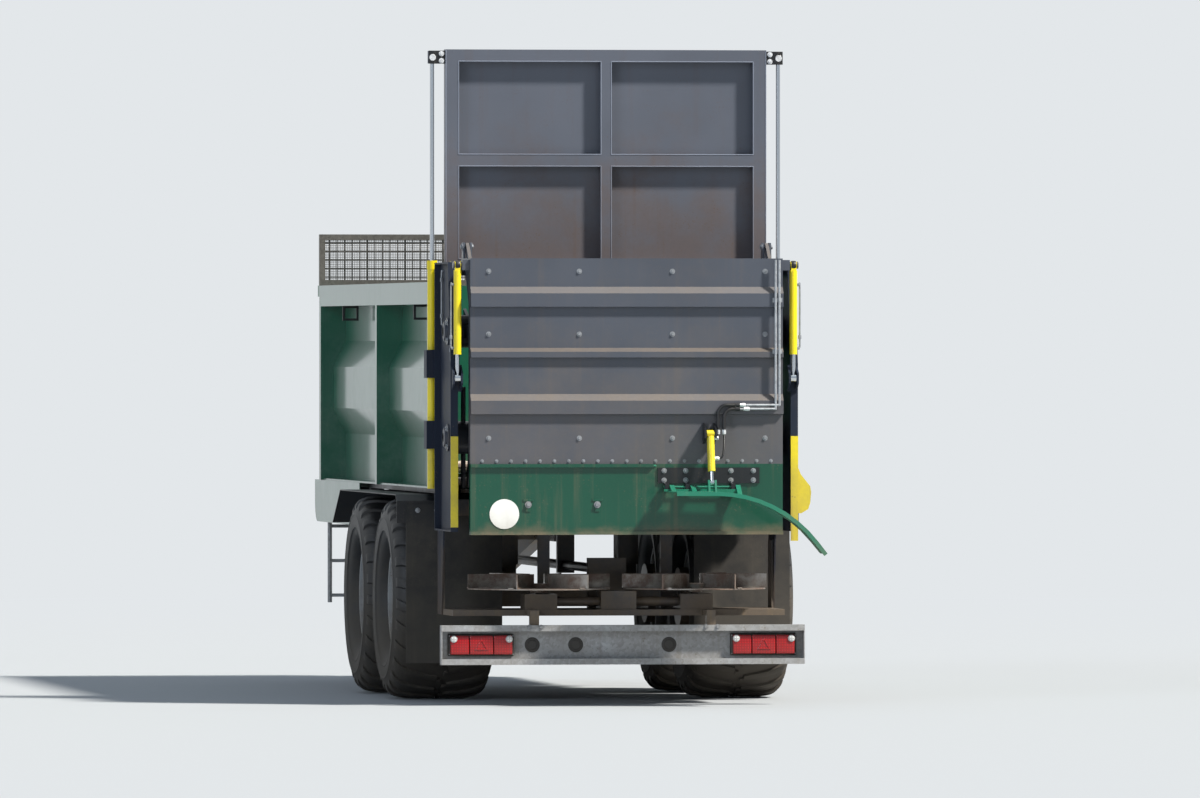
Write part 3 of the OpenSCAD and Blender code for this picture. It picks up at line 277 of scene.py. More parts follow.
def dress(add, share, clean, dirty, rough, bumps, cover=1.0, metal=None, sockets=None):
    """Ends a material whose dirt has a share. The colour goes from clean to dirty by cover times the share,
    and roughness and metallic go between the numbers of their pairs. Each bump is a height, a strength and a
    distance in metres, and lies on the one before. Sockets are numbers that are the same all over."""
    hidden = share if cover == 1 else add("Math", {0: share, 1: cover}, **PRODUCT)
    ends = {"Base Color": add("Mix", {0: hidden, 6: clean, 7: dirty}, **BLEND)}
    for key, pair in {"Roughness": rough, "Metallic": metal}.items():
        if pair:
            ends[key] = add("MapRange", {"Value": share, "To Min": pair[0], "To Max": pair[1]})
    for height, strength, distance in bumps:
        bump = {"Height": height, "Strength": strength, "Distance": distance}
        if "Normal" in ends:
            bump["Normal"] = ends["Normal"]
        ends["Normal"] = add("Bump", bump)
    shader = add("BsdfPrincipled", {**ends, **(sockets or {})})
    add("OutputMaterial", {"Surface": shader})


def soiled(add, where, low, high, amount, streaks, splash):
    """Share of dirt. A patchy film lies below the height high and is full at low, streaks run down with the
    rain about every 60 mm, and splash is drops of 5 to 20 mm in groups."""
    height = add("SeparateXYZ", {0: where}, "Z")
    patches = add("TexNoise", {"Vector": where, "Scale": 3.1, "Detail": 9.0, "Roughness": 0.68})
    below = add("MapRange", {0: height, 1: high, 2: low}, **SMOOTH)
    patches = add("Math", {0: patches, 1: 0.8}, **PRODUCT)
    film = add("Math", {0: below, 1: 0.42, 2: patches}, **GROWN)
    film = add("MapRange", {0: film, 1: 0.44, 2: 0.86}, **SMOOTH)
    share = add("Math", {0: film, 1: amount}, **PRODUCT)
    if streaks:
        thin = add("Mapping", {"Vector": where, "Scale": (17.0, 17.0, 0.7)})
        runs = add("TexNoise", {"Vector": thin, "Scale": 1.0, "Detail": 6.0, "Roughness": 0.6})
        runs = add("MapRange", {0: runs, 1: 0.52, 2: 0.74}, **SMOOTH)
        share = add("Math", {0: runs, 1: streaks, 2: share}, **GROWN)
    drops = add("TexVoronoi", {"Vector": where, "Scale": 46.0}, "Distance")
    groups = add("TexNoise", {"Vector": where, "Scale": 7.0, "Detail": 5.0, "Roughness": 0.7})
    drops = add("MapRange", {0: drops, 1: 0.34, 2: 0.16}, **SMOOTH)
    groups = add("MapRange", {0: groups, 1: 0.5, 2: 0.66}, **SMOOTH)
    drops = add("Math", {0: drops, 1: groups}, **PRODUCT)
    return add("Math", {0: drops, 1: splash, 2: share}, **GROWN)


def enamel(add, where, colour, dirt, rough, coat, low, high, film, streaks, splash, fade=0.1, gloss=0.5,
           ledge=0.0):
    """Sprayed two-pack machine enamel: a smooth gloss with the slight ripple of sprayed paint, 7 mm apart,
    which dulls and browns where dust and manure stick to it. Broad patches are darker by the share fade, and
    faces that look up are lightened as much as ledge says: partly dust lying on them, partly a painted
    highlight."""
    broad = add("TexNoise", {"Vector": where, "Scale": 1.7, "Detail": 4.0})
    broad = add("MapRange", {0: broad, 1: 0.3, 2: 0.75}, **SMOOTH)
    paint = add("Mix", {0: broad, 6: linear(colour), 7: linear(colour, 1 - fade)}, **BLEND)
    share = soiled(add, where, low, high, film, streaks, splash)
    # Faces that look up are lightened: partly dust lying on them, partly a painted highlight where the light
    # falls.
    if ledge:
        up = add("SeparateXYZ", {0: add("TexCoord", give="Normal")}, "Z")
        up = add("MapRange", {0: up, 1: 0.3, 2: 0.75}, **SMOOTH)
        share = add("Math", {0: up, 1: ledge, 2: share}, **GROWN)
    grime = add("TexNoise", {"Vector": where, "Scale": 38.0, "Detail": 5.0, "Roughness": 0.7})
    grime = add("Mix", {0: grime, 6: linear(dirt, 0.62), 7: linear(dirt)}, **BLEND)
    ripple = add("TexNoise", {"Vector": where, "Scale": 140.0})
    dents = add("TexNoise", {"Vector": where, "Scale": 2.4})
    dress(add, share, paint, grime, (rough, 0.85),
          [(ripple, 0.25, 0.0006), (dents, 0.5, 0.004), (share, 0.35, 0.0015)],
          sockets={"Specular IOR Level": gloss, "Coat Weight": coat, "Coat Roughness": 0.08})


def zinc(add, where, dirt, amount, bright):
    """Hot-dip galvanised steel: a dull metal with frost-like crystals 10 to 30 mm across, browned by dirt."""
    crystals = add("TexVoronoi", {"Vector": where, "Scale": 55.0}, "Color")
    crystals = add("SeparateColor", {0: crystals})
    frosted = add("Mix", {0: crystals, 6: linear(bright, 0.72), 7: linear(bright)}, **BLEND)
    share = soiled(add, where, -0.3, 2.2, amount, 0.2, 0.35)
    dress(add, share, frosted, linear(dirt), (0.42, 0.9), [(share, 0.4, 0.0012)], metal=(0.5, 0.0))


def worn_steel(add, where, bright, rust):
    """Hot-rolled steel scoured by the load: bare where it slides, thinly rusted and caked elsewhere."""
    patches = add("TexNoise", {"Vector": where, "Scale": 6.0, "Detail": 9.0, "Roughness": 0.72})
    patches = add("MapRange", {0: patches, 1: 0.36, 2: 0.62}, **SMOOTH)
    share = add("Math", {0: patches, 1: 0.75}, **PRODUCT)
    grain = add("TexNoise", {"Vector": where, "Scale": 90.0, "Detail": 4.0, "Roughness": 0.7})
    rusty = add("Mix", {0: grain, 6: linear(rust, 0.5), 7: linear(rust)}, **BLEND)
    dress(add, share, linear(bright), rusty, (0.38, 0.92), [(grain, 0.4, 0.001), (share, 0.5, 0.003)],
          metal=(0.9, 0.0))


def chrome(add, where, bright):
    """Hard chrome on a ground cylinder rod: a bright mirror with fine scratches along the rod."""
    thin = add("Mapping", {"Vector": where, "Scale": (420.0, 420.0, 3.0)})
    lines = add("TexNoise", {"Vector": thin, "Scale": 1.0, "Detail": 3.0})
    rough = add("MapRange", {"Value": lines, "To Min": 0.06, "To Max": 0.2})
    shader = add("BsdfPrincipled", {"Base Color": linear(bright), "Metallic": 1.0, "Roughness": rough})
    add("OutputMaterial", {"Surface": shader})


def tyre_rubber(add, where, rubber, dust):
    """Vulcanised natural rubber with carbon black: dark and matt, dusted grey-brown, most by the ground."""
    share = soiled(add, where, -0.5, 0.9, 0.85, 0.0, 0.3)
    fine = add("TexNoise", {"Vector": where, "Scale": 260.0, "Detail": 3.0, "Roughness": 0.6})
    dress(add, share, linear(rubber), linear(dust), (0.55, 0.92), [(fine, 0.3, 0.0008)], 0.62)


def moulded(add, where, colour, rough, dusty, grain=0.3):
    """Injection-moulded or extruded plastic and rubber: an even colour with a sand-like grain under dust."""
    share = soiled(add, where, -0.4, 1.6, dusty, 0.2, 0.2)
    fine = add("TexNoise", {"Vector": where, "Scale": 420.0})
    dress(add, share, linear(colour), linear("#6A6256"), (rough, 0.9), [(fine, grain, 0.0004)], 0.6)


def lens(add, where, colour, rough):
    """Moulded acrylic lens: a clear gloss over optic ribs that break the light into short lines."""
    ribs, rows = (add("TexWave", {"Vector": where, "Scale": 17.5}, 1, bands_direction=way)
                  for way in "XZ")
    both = add("Math", {0: ribs, 1: rows}, operation="MULTIPLY")
    share = soiled(add, where, -0.4, 0.6, 0.25, 0.05, 0.15)
    body = add("Mix", {0: both, 6: linear(colour, 0.55), 7: linear(colour)}, **BLEND)
    dress(add, share, body, linear("#6A5A4C"), (rough, 0.6), [(both, 0.35, 0.0015)], 0.35,
          sockets={"Coat Weight": 0.25, "Coat Roughness": 0.05})


# What a user may set


def colour_of(parts, default):
    """Setting for the colour of some parts."""
    return bpy.props.StringProperty(
        name="Colour of " + parts, description="An sRGB hex value", default=default)


class SpreaderFinishes(bpy.types.PropertyGroup):
    """Colours of the paints, lenses and dirt, as sRGB hex values."""

    body_green: colour_of("the hopper and side skirts", "#0E5A43")
    cover_green: colour_of("the hood's lower cover", "#074633")
    # This green is the flap's own paint; on the cover's rim it is a painted highlight.
    flap_green: colour_of("the edge flap and the cover's rim", "#17735A")
    hood_grey: colour_of("the hood", "#484D57")
    gate_grey: colour_of("the gate", "#555A65")
    # The gate's rear edges are painted lighter than the gate: a painted highlight along them.
    gate_edge: colour_of("the gate's rear edges", "#767D8B")
    post_grey: colour_of("the spreading unit's side frames", "#262D3B")
    frame_grey: colour_of("the chassis, drums and deck", "#2F3541")
    yellow: colour_of("the guard and cylinders", "#F0DA14")
    wheel_silver: colour_of("the wheels", "#A9ADB0")
    lamp_red: colour_of("the tail lamps' lenses", "#B40411")
    dust: colour_of("the dried manure and dust", "#7C6A52")
    # The pale film on the walls is a painted reflection of the sky on their glossy panels.
    wall_dust: colour_of("the pale film on the walls", "#98A69C")
    gate_dirt: colour_of("the dirt on the gate", "#5E4A3E")


TREAD_DEPTH = 0.0165


class SpreaderTyres(bpy.types.PropertyGroup):
    """Tread of the tyres."""

    lugs: bpy.props.IntProperty(
        name="Lugs a side", description="Number of lugs on one side of a tyre", default=26, min=20, max=36)
    depth: bpy.props.FloatProperty(
        name="Tread depth", description="Height of the lugs at the middle of the tread", default=TREAD_DEPTH,
        min=0.008, max=0.03, unit="LENGTH")
    lean: bpy.props.FloatProperty(
        name="Lug lean", description="Angle of a lug to the tyre's axle",
        default=math.radians(20), min=0.0, max=0.6, subtype="ANGLE")


class SpreaderStage(bpy.types.PropertyGroup):
    """Camera and light."""

    lens: bpy.props.FloatProperty(
        name="Lens", description="Focal length on a 36 mm sensor", default=405.05, min=50.0, max=900.0,
        unit="CAMERA")
    floor: colour_of("the floor", "#A5A9AC")
    key: bpy.props.FloatProperty(
        name="Key light", description="Strength of the main light in W/m2", default=7.0, min=0.0)


MADE = {}  # materials by key


def material(key):
    """The material of that key, made the first time that it is asked for. After an enamel's colour and dirt
    stand its roughness and coat, the heights where the film of dirt is full and where it ends, the shares of
    film, streaks and splash, and for some the fading, the gloss and the dust and painted highlight on ledges."""
    f = bpy.context.scene.spreader_finishes
    mud = "#6E6353"
    kinds = {
        "green": (enamel, "enamel_body_green", f.body_green, f.dust, 0.42, 0.25, 0.3, 2.0, 0.4, 0.12, 0.12),
        # The walls' pale film paints the reflection of the sky on the panels; it is not dust.
        "walls": (enamel, "enamel_wall_green", f.body_green, f.wall_dust, 0.34, 0.6, -1, 2.9, 0.34, 0.06,
                  0.06),
        "cover": (enamel, "enamel_cover_green", f.cover_green, f.dust, 0.3, 0.3, 0.58, 0.78, 0.9, 0.22, 0.2),
        "flap": (enamel, "enamel_flap_green", f.flap_green, f.dust, 0.35, 0.3, 0.3, 1.2, 0.35, 0.1, 0.2),
        # The hood's up-facing rib slopes get dust and a painted highlight.
        "hood": (enamel, "enamel_hood_grey", f.hood_grey, f.dust, 0.38, 0.25, 0.5, 3.0, 0.22, 0.1, 0.12,
                 0.14, 0.5, 0.38),
        "gate": (enamel, "enamel_gate_grey", f.gate_grey, f.gate_dirt, 0.42, 0.15, 2.2, 3.9, 0.55, 0.16, 0.25,
                 0.14),
        # Lighter paint on the gate's rounded edges: a painted highlight.
        "edges": (enamel, "enamel_gate_edges", f.gate_edge, f.gate_dirt, 0.4, 0.2, 2.2, 3.9, 0.35, 0.1, 0.2),
        "posts": (enamel, "enamel_post_grey", f.post_grey, f.dust, 0.5, 0.0, -0.2, 1.2, 0.45, 0.12, 0.25,
                  0.1, 0.15),
        "frame": (enamel, "enamel_frame_grey", f.frame_grey, f.dust, 0.42, 0.15, -0.4, 1.9, 0.7, 0.25, 0.35),
        "yellow": (enamel, "enamel_drive_yellow", f.yellow, f.dust, 0.34, 0.3, 0.2, 2.4, 0.5, 0.3, 0.35),
        "wheel": (enamel, "enamel_wheel_silver", f.wheel_silver, f.dust, 0.4, 0.15, -0.4, 0.9, 0.7, 0.1, 0.3),
        "black": (enamel, "enamel_black_mount", "#121418", f.dust, 0.42, 0.15, 0.3, 1.0, 0.15, 0.05, 0.12),
        "white": (enamel, "enamel_white_disc", "#E9E9E4", f.dust, 0.35, 0.2, 0.6, 0.9, 0.3, 0.05, 0.1),
        "zinc": (zinc, "zinc_galvanised", mud, 0.45, "#B6BABE"),
        "zinc_clean": (zinc, "zinc_fasteners", mud, 0.3, "#9A9EA3"),
        "white_metal": (zinc, "zinc_bright_pins", mud, 0.12, "#E4E6E8"),
        "screen": (zinc, "zinc_screen", "#5E5347", 0.95, "#74706A"),
        "worn": (worn_steel, "steel_scoured", "#8E8880", "#6B4630"),
        "chrome": (chrome, "chrome_rod", "#D6D8DA"),
        "tyre": (tyre_rubber, "rubber_tyre", "#1B1B1C", "#5E564B"),
        "rubber": (moulded, "rubber_flap", "#17181A", 0.6, 0.6),
        "hose": (moulded, "rubber_hose", "#141416", 0.45, 0.3, 0.5),
        "plastic": (moulded, "polyethylene_fender", "#15161A", 0.42, 0.45),
        "housing": (moulded, "abs_lamp_housing", "#121316", 0.4, 0.4),
        "red": (lens, "acrylic_red_lens", f.lamp_red, 0.12),
        "clear": (lens, "acrylic_clear_lens", "#E6E8E6", 0.1),
    }
    if key not in MADE:
        kind, name, *values = kinds[key]
        MADE[key], add, where = blank(name)
        kind(add, where, *values)
    return MADE[key]


# Which finish each node of the model takes
NODE_FINISH = {
    "green": ["front_wall", "hopper_floor"],
    "walls": ["wall_left", "wall_right", "side_skirts"],
    "posts": ["side_frame_left", "side_frame_right", "cylinder_ears"],
    "screen": ["front_screen"],
    "flap": ["flap"],
    "cover": ["lower_cover"],
    "hood": ["hood", "hood_beam"],
    "black": ["flap_mount"],
    "gate": ["gate"],
    "frame": ["chassis_frame", "drawbar", "jack_tube", "axle_rear", "axle_front", "leaf_springs",
              "drum_lower", "drum_upper", "disc_deck", "gearboxes", "driveline"],
    "yellow": ["gate_barrels", "drive_guard", "hood_barrels", "flap_barrel"],
    "wheel": ["rim_" + name for name in WHEELS],
    "zinc": ["ladder", "light_bar", "jack_leg", "flap_pipes"],
    "worn": ["coupling_eye", "scraper_floor", "scraper_shafts", "disc_left", "disc_right"],
    "chrome": ["gate_rods", "hood_rods", "flap_rod"],
    "rubber": ["mud_flaps"],
    "hose": ["flap_hoses"],
    "plastic": ["fenders", "wall_hooks"],
    "white": ["speed_disc"],
    "red": ["lamps"],
    "tyre": ["tyre_" + name for name in WHEELS],
}


class SPREADER_OT_finish(bpy.types.Operator):
    """Give every node of the model its weathered finish"""

    bl_idname = "spreader.finish"
    bl_label = "Finishes"

    def execute(self, context):
        finish_of = {name: key for key, names in NODE_FINISH.items() for name in names}
        if set(finish_of) != set(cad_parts):
            raise RuntimeError("nodes without a finish: %s" % sorted(set(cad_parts) ^ set(finish_of)))
        for name, key in finish_of.items():
            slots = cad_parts[name].data.materials
            slots.clear()
            slots.append(material(key))
        return {"FINISHED"}


# Wheels

WHEEL_X = 1025
AXLE_H = 690


def wheel_place(name):
    """Matrix of a wheel's middle, its outer side along +X of the wheel's own space."""
    side, station = WHEELS[name]
    return spot(side * WHEEL_X, station, AXLE_H) @ np.diag([side, 1.0, 1.0, 1.0])


# Half of the tyre's section: distance from the middle and radius, from the tread's middle to the bead
TYRE_HALF = np.array([
    (0, 670), (80, 669.8), (160, 669), (210, 666.8), (250, 661), (282, 651), (307, 634), (325, 612),
    (336, 592), (345, 572), (350.5, 560), (354.5, 555), (354.8, 545), (352, 540), (352.5, 520), (349, 480),
    (346.5, 474), (348.5, 470), (347, 462), (340, 456), (322, 415), (298, 388), (275, 370), (265.5, 361),
    (265, 337)]) / 1000
TREAD_POINTS = 10  # of them, from the middle to below the lugs
LUG_MIDDLE = 0.195  # place across the tyre of a lug's middle, and its radius there
LUG_R = 0.686


def carcass(x):
    """Radius of the tyre without its lugs at a distance x from the middle."""
    return np.interp(np.abs(x), *TYRE_HALF[:TREAD_POINTS].T)


def crown(x, depth):
    """Radius of the lugs' tips at a distance x from the middle. They stand over the carcass as in this table
    for the usual tread depth, and in proportion for another."""
    usual = np.interp(np.abs(x), [0, 0.195, 0.245, 0.285, 0.312, 0.332, 0.34],
                      [0.6865, 0.686, 0.68, 0.6715, 0.6545, 0.629, 0.606])
    return carcass(x) + (usual - carcass(x)) * (depth / TREAD_DEPTH)


def lug_row(angles, x, shift, width, depth):
    """Lugs carried across the tyre at the places x: at each the section has its foot in the carcass and its
    top at the crown, at the lug's angle plus the shift, with the given width. The end sections lie
    inside."""
    top = crown(x, depth)
    foot = np.minimum(carcass(x), top - depth * 0.5) - 0.004
    level = np.stack([foot, top - 0.0015, top, top, top - 0.0015, foot], -1)
    level[0], level[-1] = foot[0] - 0.002, foot[-1] - 0.002
    across = np.array([-0.6, -0.5, -0.44, 0.44, 0.5, 0.6])
    swing = shift[:, None] + np.broadcast_to(width, x.shape)[:, None] * across / top[:, None]
    a = angles[:, None, None] + swing
    points = np.stack([np.broadcast_to(x[:, None], a.shape), level * np.cos(a), level * np.sin(a)], -1)
    return repeated(points.reshape(len(points), -1, 3), grid(points[0])[1])


def tyre_shape(tread):
    """Tyre about X: the half section and its mirror image turned round, with a row of slanting lugs on each
    side that bend a little along their length, the two rows half a pitch apart, and a small block between
    each lug and the tyre's middle."""
    half = smooth_path(TYRE_HALF[::-1], 48)
    section = np.concatenate([half, half[:-1][::-1] * [-1, 1]])
    shapes = [turned(section[:, ::-1], 144, "x")]
    step = math.tau / tread.lugs
    lug_x = np.concatenate([[0.034, 0.037], np.linspace(0.05, 0.3, 11), [0.318, 0.331, 0.3375, 0.339]])
    reach = (lug_x - LUG_MIDDLE) / 0.15
    block_x = np.array([0.006, 0.009, 0.02, 0.032, 0.035])
    rows = [(lug_x, 0.016 * (1 - reach ** 2), 0.054 + 0.008 * reach), (block_x, 0.03, 0.034)]
    for side in (1, -1):
        angles = math.pi / 2 + np.arange(tread.lugs) * step + (step / 2 if side < 0 else 0)
        for x, bend, width in rows:
            shift = -math.tan(tread.lean) * (x - LUG_MIDDLE) / LUG_R + bend
            shapes.append(lug_row(angles, side * x, shift, width, tread.depth))
    return merge(shapes)


class SPREADER_OT_tyres(bpy.types.Operator):
    """Put treaded tyres in place of the model's plain ones"""

    bl_idname = "spreader.tyres"
    bl_label = "Tyres"

    def execute(self, context):
        shape = tyre_shape(context.scene.spreader_tyres)
        for name in WHEELS:
            put("treaded_tyre_" + name, place(shape, wheel_place(name)), "tyre", "wheel_" + name,
                35, ["tyre_" + name])
        return {"FINISHED"}


class SPREADER_OT_wheel_parts(bpy.types.Operator):
    """Add the wheel nuts, studs, hub caps and valves"""

    bl_idname = "spreader.wheel_parts"
    bl_label = "Wheel nuts and caps"

    def execute(self, context):
        outward = turn(90, "Y")
        stud = turned([(0, -0.016), (0.0105, -0.016), (0.0105, 0.036), (0.008, 0.039), (0, 0.039)], 16)
        nut = merge([hex_bolt(0.032, 0.022, 0.003), stud])
        nuts = [turn(36 * i + 18, "X") @ at(-0.024, 0, 0.1675) @ outward for i in range(10)]
        screws = [turn(60 * i, "X") @ at(0.028, 0, 0.079) @ outward for i in range(6)]
        cap = turned([(0, 0.062), (0.03, 0.061), (0.052, 0.056), (0.066, 0.044), (0.072, 0.03),
                      (0.084, 0.028), (0.0865, 0.024), (0.0865, 0.012)], 48, "x")
        valve = swept([(-0.03, 0, 0.262), (0.004, 0, 0.262), (0.02, 0, 0.266), (0.036, 0, 0.276)],
                      [0.006, 0.005, 0.004, 0.0045], 10)
        parts = merge([copies(nut, nuts), copies(hex_bolt(0.012, 0.006), screws), valve])
        for name in WHEELS:
            move = wheel_place(name)
            put("wheel_nuts_" + name, place(parts, move), "zinc_clean", "wheel_" + name)
            put("hub_cap_" + name, place(cap, move), "wheel", "wheel_" + name)
        return {"FINISHED"}


# Lights


def lamp_parts():
    """Shapes of one tail lamp about its middle, facing -Y: the housing, the red lens in three chambers with a
    triangular reflector on the middle one, the clear caps and the screws."""
    housing = place(soft_box((0.45, 0.034, 0.15), 0.012), at(0, 0.014, 0))
    chambers = merge([place(soft_box((wide, 0.022, 0.128), 0.009), at(x, -0.012, 0))
                      for x, wide in ((-0.1475, 0.126), (0, 0.16), (0.1475, 0.126))])
    corners = [(math.cos(a), math.sin(a)) for a in (math.pi / 2, math.pi * 7 / 6, math.pi * 11 / 6)]
    rings = [(0.052, -0.02), (0.052, -0.027), (0.0468, -0.0285), (0.03744, -0.0285), (0.03432, -0.025),
             (0, -0.025)]
    triangle = grid([[(r * c, y, r * s - 0.008) for c, s in corners] for r, y in rings], wrap_v=True)
    backward = turn(90, "X")
    cap = turned([(0.024, 0.0), (0.024, 0.012), (0.021, 0.017), (0.012, 0.02), (0, 0.021)], 28)
    caps = copies(place(cap, backward), [at(x, -0.014, 0.04) for x in (-0.188, 0.188)])
    screws = copies(place(hex_bolt(0.009, 0.004), backward),
                    [at(x, -0.004, z) for x in (-0.2165, 0.2165) for z in (-0.062, 0.062)])
    return housing, merge([chambers, triangle]), caps, screws


class SPREADER_OT_lamps(bpy.types.Operator):
    """Put the detailed tail lamps in place of the model's blocks"""

    bl_idname = "spreader.lamps"
    bl_label = "Tail lamps"

    def execute(self, context):
        low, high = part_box("lamps")
        half = 0.225
        for side, x in (("left", low.x + half), ("right", high.x - half)):
            move = at(x, (low.y + high.y) / 2 + 0.006, (low.z + high.z) / 2)
            housing, red, caps, screws = (place(shape, move) for shape in lamp_parts())
            put("lamp_housing_" + side, housing, "housing", "frame",
                replaces=["lamps"] if side == "left" else ())
            put("lamp_lens_" + side, red, "red", "frame")
            put("lamp_caps_" + side, caps, "clear", "frame")
            put("lamp_screws_" + side, screws, "zinc_clean", "frame")
        return {"FINISHED"}


# Fasteners

BACK = (0, -1, 0)


def bolts(places, direction=BACK, across=0.019, head=0.009, washer=0.002):
    """Bolt heads at points given in X, station and height (mm), their heads towards direction (x, y, z)."""
    face = np.array(Vector(direction).to_track_quat("Z", "Y").to_matrix().to_4x4())
    return copies(hex_bolt(across, head, washer), [spot(*p) @ face for p in places])


# Station of the hood's rear sheet, and height of each rib's upper edge with how far its slope goes below that
HOOD_SHEET = -350
RIB_SLOPES = ((2800, 30), (2390, 12), (2080, 30))


class SPREADER_OT_hood_sheet(bpy.types.Operator):
    """Put a hood with broad slopes above its ribs in place of the model's: the same sheet, where the upper
    edge of each rib's face lies lower"""

    bl_idname = "spreader.hood_sheet"
    bl_label = "Hood sheet"

    def execute(self, context):
        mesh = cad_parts["hood"].data
        points = np.empty(len(mesh.vertices) * 3)
        mesh.vertices.foreach_get("co", points)
        points = points.reshape(-1, 3)
        corners = np.empty(len(mesh.loops), np.int32)
        mesh.loops.foreach_get("vertex_index", corners)
        heights = (points[:, 2] - BASE.z) * 1000
        proud = (points[:, 1] - BASE.y) * 1000 < HOOD_SHEET - 10
        for edge, fall in RIB_SLOPES:
            on_edge = proud & (np.abs(heights - edge) < 0.5)
            if not on_edge.any():
                raise RuntimeError("the hood has no rib edge at the height %d" % edge)
            points[on_edge, 2] -= fall / 1000
        put("hood_sheet", (points, corners.reshape(-1, 3)), "hood", "hood",
            replaces=["hood"])
        return {"FINISHED"}


class SPREADER_OT_hood_fasteners(bpy.types.Operator):
    """Add the bolts of the hood, cover, hinges and flap mount, and the cover's clamps and rim, the rim in the
    flap's lighter green as a painted highlight
    """

    bl_idname = "spreader.hood_fasteners"
    bl_label = "Hood bolts and clamps"

    def execute(self, context):
        sheet = [(x, HOOD_SHEET, z) for x in (-936, -322, 310, 940) for z in (2918, 2496, 1798)]
        edge = [(x, HOOD_SHEET, 1645) for x in range(-980, 1000, 98)]
        mount = [(x, HOOD_SHEET - 12, z) for x in (252, 398, 706, 858) for z in (1516, 1579)]
        clamp_x = (-669, -201)
        clamps = [(x, HOOD_SHEET - 6, 1352) for x in clamp_x]
        shapes = [bolts(sheet + mount), bolts(edge, BACK, 0.013, 0.006),
                  bolts(clamps, BACK, 0.024, 0.012, 0.003)]
        for hinge_x in (-1020, 1020):
            for way in (1, -1):
                shapes.append(bolts([(hinge_x + way * 30, 110, 3085)], (way, 0, 0), 0.03, 0.01, 0.003))
        put("hood_bolts", merge(shapes), "zinc_clean", "hood")
        plates = [place(soft_box(size, 0.0025), spot(x, HOOD_SHEET - 3, z)) for x in clamp_x
                  for size, z in (((0.034, 0.006, 0.072), 1340), ((0.07, 0.006, 0.016), 1382))]
        put("cover_clamps", merge(plates), "cover", "hood")
        # The rim takes the flap's lighter green rather than the cover's: a painted highlight along the
        # cover's upper edge.
        rim = swept([spot(x, HOOD_SHEET, 1611)[:3, 3] for x in (-1054, -1044, 192, 202)],
                    [0.002, 0.009, 0.009, 0.002], 16)
        put("cover_rim", rim, "flap", "hood")
        return {"FINISHED"}


class SPREADER_OT_cylinder_parts(bpy.types.Operator):
    """Add the eye bosses and the oil pipes of the hood's cylinders"""

    bl_idname = "spreader.cylinder_parts"
    bl_label = "Hood cylinder parts"

    def execute(self, context):
        station = -300
        boss = turned([(0, -0.021), (0.02, -0.021), (0.027, -0.017), (0.03, -0.01), (0.03, 0.01),
                       (0.027, 0.017), (0.02, 0.021), (0, 0.021)], 32, "x")
        nut = union_nut(0.006, 0.011, 0.0085, 0.013)
        course = ((1163, 2829), (1178, 2828), (1184, 2812), (1184, 2500), (1184, 2420), (1178, 2404),
                  (1163, 2403))
        bosses, pipes = [], []
        for side in (1, -1):
            bosses.append(place(boss, spot(side * 1140, station, 2960)))
            pipes.append(pipe([(side * x, station, z) for x, z in course], 46, 0.006))
            pipes += [place(nut, spot(side * 1170, station, z) @ turn(90, "Y")) for z in (2829, 2403)]
            pipes.append(place(nut, spot(side * 1184, station, 2477)))
        put("hood_eye_bosses", merge(bosses), "hose", "hood_barrels")
        put("hood_cylinder_pipes", merge(pipes), "zinc_clean", "hood_barrels")
        return {"FINISHED"}


class SPREADER_OT_frame_fasteners(bpy.types.Operator):
    """Add the drums' bearings and the bolts of the bearings, posts, mud flaps, light bar and drawbar"""

    bl_idname = "spreader.frame_fasteners"
    bl_label = "Frame bolts and bearings"

    def execute(self, context):
        shapes, bearings = [], []
        flange = turned([(0.034, 0.0), (0.092, 0.0), (0.092, 0.012), (0.064, 0.016), (0.06, 0.034),
                         (0.04, 0.038), (0.034, 0.038)], 48)
        for side in (1, -1):
            for height in (1800, 2515):
                bearings.append(place(flange, spot(side * 1140, 150, height) @ turn(90 * side, "Y")))
                ring = [(side * 1152, 150 + 76 * math.cos(a), height + 76 * math.sin(a))
                        for a in (math.pi / 4 + math.pi / 2 * i for i in range(4))]
                shapes.append(bolts(ring, (side, 0, 0), 0.024, 0.011, 0.003))
            shapes.append(bolts([(side * 1150, 565, z) for z in (2230, 2360, 1750, 1880)]))
            shapes.append(bolts([(side * x, 974, 1300) for x in range(720, 1250, 130)]))
        shapes.append(bolts([(x, -200, 527) for x in (-640, -560, 560, 640)]))
        drawbar = [(x, 8315, z) for x in (-75, 75) for z in (430, 500, 570)]
        shapes.append(bolts(drawbar, (0, 1, 0), 0.03, 0.014, 0.003))
        put("frame_bolts", merge(shapes), "zinc_clean", "frame")
        put("drum_bearings", merge(bearings), "frame", "frame")
        return {"FINISHED"}


